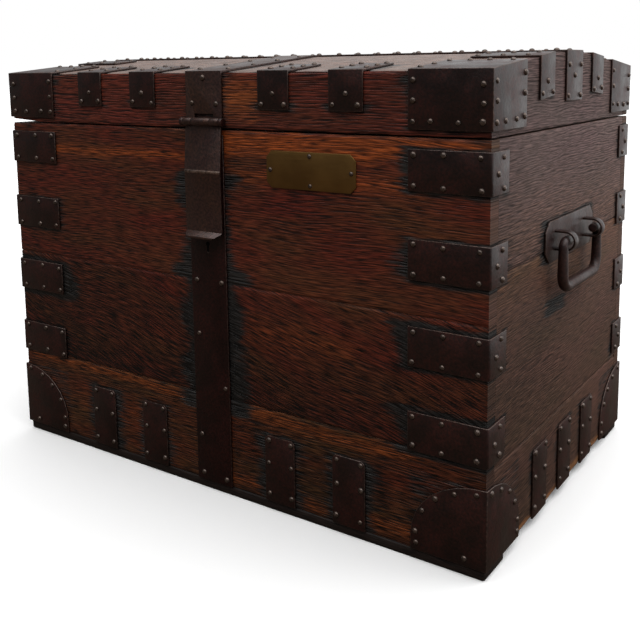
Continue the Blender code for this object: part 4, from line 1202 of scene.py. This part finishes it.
def lid_stud_places():
    places = []
    centre_rows = both_sides(0, CENTRE_HALF - STUD_INSET)
    for end, turn in ENDS:
        for hand, side in HANDS:
            places += lid_corner_stud_places(turn, side)
    for middle in FRONT_STRAPS:
        places += [on_front(middle + off, z) for off, z in LID_STRAP_STUDS]
        for y in LID_STRAP_TOP_STUDS:
            places += [on_lid(x, y) for x in both_sides(middle, STRAP_STUD)]
    places += [on_front(x, z) for x, z in LID_CENTRE_STUDS]
    for hand, side in HANDS:
        for middle in END_STRAPS:
            places += [on_end(side, middle + off, z) for off, z in END_STRAP_STUDS]
            for inset in END_STRAP_TOP_STUDS:
                places += [on_lid(side * (HALF_WIDTH - inset), y) for y in both_sides(middle, STRAP_STUD)]
        places += [on_end(side, y, z) for y, z in CROWN_END_STUDS]
        x = HALF_WIDTH - CROWN_FIRST_STUD
        while x > CENTRE_HALF + STUD_INSET:
            places += [on_lid(side * x, y) for y in centre_rows]
            x -= STUD_PITCH
    for step in range(CENTRE_ROW_COUNT):
        y = -CENTRE_ROW_REACH + 2 * CENTRE_ROW_REACH * step / (CENTRE_ROW_COUNT - 1)
        places += [on_lid(x, y) for x in centre_rows]
    for hand, side in HANDS:
        node = f"hinge_lid_leaf_{hand}"
        heights = (LID_LOW + LID_LEAF_LOW_STUD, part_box(node)[1].z - STUD_INSET)
        places += leaf_stud_places(node, heights)
    return places


def build_all_studs():
    build_studs("body_studs", body_stud_places(), STUD_IRON, "chest")
    build_studs("lid_studs", lid_stud_places(), STUD_IRON, "lid")
    low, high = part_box("name_plaque")
    middle = (low + high) / 2
    nails = [(middle.x, high.z - NAIL_TOP_INSET), (middle.x, low.z + NAIL_INSET)]
    nails += [(low.x + NAIL_INSET, middle.z), (high.x - NAIL_INSET, middle.z)]
    places = [(Vector((x, low.y, z)), FRONT) for x, z in nails]
    build_studs("plaque_nails", places, STUD_IRON, "chest", NAIL_SIZE)
    # A tiny bright bead at the slot's foot: a painted highlight on the hole's lower rim
    build_studs("slot_glint_bead", [on_front(0, SLOT_LOW)], RUBBED_HIGHLIT_IRON, "chest", SLOT_GLINT_SIZE)


def build_strap_slot():
    """A slot with a round head, let into the centre strap just under the hasp's lip: a thin near-black
    sheet, the painted shade of a hole.
    """
    place, outward = on_front(0, SLOT_TOP - SLOT_RADIUS)
    outline = []
    for step in range(SLOT_STEPS + 1):
        turn = math.radians(SLOT_HEAD_START + SLOT_HEAD_SWEEP * step / SLOT_STEPS)
        outline.append(place + SLOT_RADIUS * Vector((math.cos(turn), 0, math.sin(turn))))
    for corner in (outline[-1], outline[0]):
        outline.append(Vector((corner.x, corner.y, SLOT_LOW)))
    shape = bmesh.new()
    face = shape.faces.new([shape.verts.new(point + outward * SLOT_PROUD) for point in outline])
    sides = bmesh.ops.extrude_face_region(shape, geom=[face], use_keep_orig=True)["geom"]
    sunk = [each for each in sides if isinstance(each, bmesh.types.BMVert)]
    bmesh.ops.translate(shape, vec=-2 * outward * SLOT_PROUD, verts=sunk)
    bmesh.ops.recalc_face_normals(shape, faces=shape.faces)
    finish(shape, "strap_slot", [HOLE_SHADE_IRON], "chest")


def cut_notch(shape, top, one, two, wide, deep):
    """Cuts a notch from the middle of a sheet's top edge. One and two run along the edge and up to it."""
    for place, normal in ((top - one * wide / 2, one), (top + one * wide / 2, one), (top - two * deep, two)):
        everything = [*shape.verts, *shape.edges, *shape.faces]
        bmesh.ops.bisect_plane(shape, geom=everything, plane_co=place, plane_no=normal)
    inside = []
    for face in shape.faces:
        off = face.calc_center_median() - top
        if abs(off.dot(one)) < wide / 2 and off.dot(two) > -deep:
            inside.append(face)
    bmesh.ops.delete(shape, geom=inside, context="FACES")


def baize_sheet(name, corner, along, across, inward, body, node, notch=None, bend=None):
    """A glued sheet of baize, with soft puckers. A notch is a width and a depth cut from its middle top.

    Bend moves each point of the flat sheet to its place.
    """
    shape = face_grid(corner, along, across, inward, BAIZE_STEP, BAIZE_STEP)
    area = along.length * across.length
    if notch:
        wide, deep = notch
        cut_notch(shape, corner + along / 2 + across, along.normalized(), across.normalized(), wide, deep)
        area -= wide * deep
    for vert in shape.verts:
        pucker = BAIZE_PUCKER * (noise.noise(vert.co / PUCKER_WIDTH) - 1)
        vert.co += inward * (BAIZE_THICK + pucker)
    bmesh.ops.recalc_face_normals(shape, faces=shape.faces)
    shape.faces.ensure_lookup_table()
    if shape.faces[0].normal.dot(inward) < 0:
        bmesh.ops.reverse_faces(shape, faces=shape.faces)
    bmesh.ops.solidify(shape, geom=shape.faces, thickness=BAIZE_THICK)
    if bend:
        for vert in shape.verts:
            vert.co = bend(vert.co)
    bmesh.ops.recalc_face_normals(shape, faces=shape.faces)
    for face in shape.faces:
        face.smooth = True
    piece = finish(shape, name, [BAIZE], body, [node])


def build_body_lining():
    low, high = LINING_LOW, LINING_HIGH
    width, depth, rise = RIGHT * (high.x - low.x), BACK * (high.y - low.y), UP * (high.z - low.z)
    baize_sheet("baize_floor", low, width, depth, UP, "chest", "body_lining")
    back = Vector((low.x, high.y, low.z))
    baize_sheet("baize_back", back, width, rise, FRONT, "chest", "body_lining")
    notch = (LOCK_HIGH.x - LOCK_LOW.x, high.z - LOCK_LOW.z)
    baize_sheet("baize_front", low, width, rise, BACK, "chest", "body_lining", notch)
    baize_sheet("baize_left", low, depth, rise, RIGHT, "chest", "body_lining")
    right = Vector((high.x, low.y, low.z))
    baize_sheet("baize_right", right, depth, rise, LEFT, "chest", "body_lining")


def build_lid_lining():
    fall = math.atan(SLOPE)
    half = CROWN_HALF + (LID_LINING.y - CROWN_HALF) / math.cos(fall)
    corner = Vector((-LID_LINING.x, -half, LID_LINING.z))
    width, length = RIGHT * 2 * LID_LINING.x, BACK * 2 * half

    def over_crown(place):
        past = max(abs(place.y) - CROWN_HALF, 0)
        depth = math.copysign(abs(place.y) - past + past * math.cos(fall), place.y)
        return Vector((place.x, depth, place.z - past * math.sin(fall)))

    baize_sheet("baize_lid", corner, width, length, DOWN, "lid", "lid_lining", None, over_crown)


def behind_chest(tree, coordinates):
    """Adds the nodes that measure how far a place lies towards the bright side of the room."""
    place = add(tree, "ShaderNodeTexCoord", {}).outputs[coordinates]
    measured = add(tree, "ShaderNodeVectorMath", {0: place, 1: BRIGHT_SIDE}, operation="DOT_PRODUCT")
    return measured.outputs["Value"]


def build_floor():
    shape = bmesh.new()
    bmesh.ops.create_grid(shape, x_segments=1, y_segments=1, size=FLOOR_HALF)
    mesh = bpy.data.meshes.new("floor")
    shape.to_mesh(mesh)
    shape.free()
    floor = bpy.data.objects.new("floor", mesh)
    bpy.context.scene.collection.objects.link(floor)
    # White studio paper. It throws back less light than it shows, which keeps the front of the chest deep
    material, tree, shader = new_material("white_paper")
    far = {"Value": behind_chest(tree, "Object"), 1: 0.5, 2: 3.0, 3: 0, 4: 1}
    far = add(tree, "ShaderNodeMapRange", far, interpolation_type="SMOOTHSTEP").outputs[0]
    sides = {0: far, 6: linear("#5c5148"), 7: linear("#e8e8e8")}
    thrown = add(tree, "ShaderNodeMix", sides, data_type="RGBA").outputs[2]
    seen = add(tree, "ShaderNodeLightPath", {}).outputs["Is Camera Ray"]
    sides = {0: seen, 6: thrown, 7: linear("#f8f8f8")}
    paper = add(tree, "ShaderNodeMix", sides, data_type="RGBA")
    tree.links.new(paper.outputs[2], shader.inputs["Base Color"])
    shader.inputs["Roughness"].default_value = 1
    shader.inputs["Specular IOR Level"].default_value = 0
    mesh.materials.append(material)


def build_light():
    world = bpy.data.worlds.new("studio")
    world.use_nodes = True
    tree = world.node_tree
    room = tree.nodes["Background"]
    level = {"Value": behind_chest(tree, "Generated"), 1: -0.4, 2: 0.7, 3: DIM_WALL, 4: BRIGHT_WALL}
    wall = add(tree, "ShaderNodeMapRange", level, interpolation_type="SMOOTHSTEP").outputs[0]
    seen = add(tree, "ShaderNodeLightPath", {}).outputs["Is Camera Ray"]
    level = add(tree, "ShaderNodeMix", {0: seen, 2: wall, 3: 1.0})
    room.inputs["Color"].default_value = (1, 1, 1, 1)
    tree.links.new(level.outputs[0], room.inputs["Strength"])
    bpy.context.scene.world = world

    top = bpy.data.lights.new("top_softbox", "SUN")
    top.energy = TOP_STRENGTH
    top.angle = TOP_SPREAD
    window = bpy.data.lights.new("window_softbox", "AREA")
    window.energy = WINDOW_STRENGTH
    window.size = WINDOW_SIZE
    for light, place in ((top, TOP_PLACE), (window, WINDOW_PLACE)):
        lamp = bpy.data.objects.new(light.name, light)
        lamp.location = place
        lamp.rotation_euler = (LIGHT_TARGET - place).to_track_quat("-Z", "Y").to_euler()
        bpy.context.scene.collection.objects.link(lamp)
    bpy.context.scene.view_settings.view_transform = "Standard"


def build_camera():
    data = bpy.data.cameras.new("camera")
    data.lens = CAMERA_LENS
    data.shift_y = CAMERA_SHIFT
    camera = bpy.data.objects.new("camera", data)
    turn = Matrix.Rotation(CAMERA_YAW, 4, "Z") @ Matrix.Rotation(math.pi / 2 + CAMERA_PITCH, 4, "X")
    camera.matrix_world = Matrix.Translation(CAMERA_PLACE) @ turn @ Matrix.Rotation(CAMERA_ROLL, 4, "Z")
    bpy.context.scene.collection.objects.link(camera)
    bpy.context.scene.camera = camera


build_camera()
build_front()
build_sides()
build_back()
build_lid_rails()
build_lid_ends()
build_lid_top()
build_ironwork()
build_small_straps()
build_all_studs()
build_strap_slot()
build_body_lining()
build_lid_lining()
build_floor()
build_light()
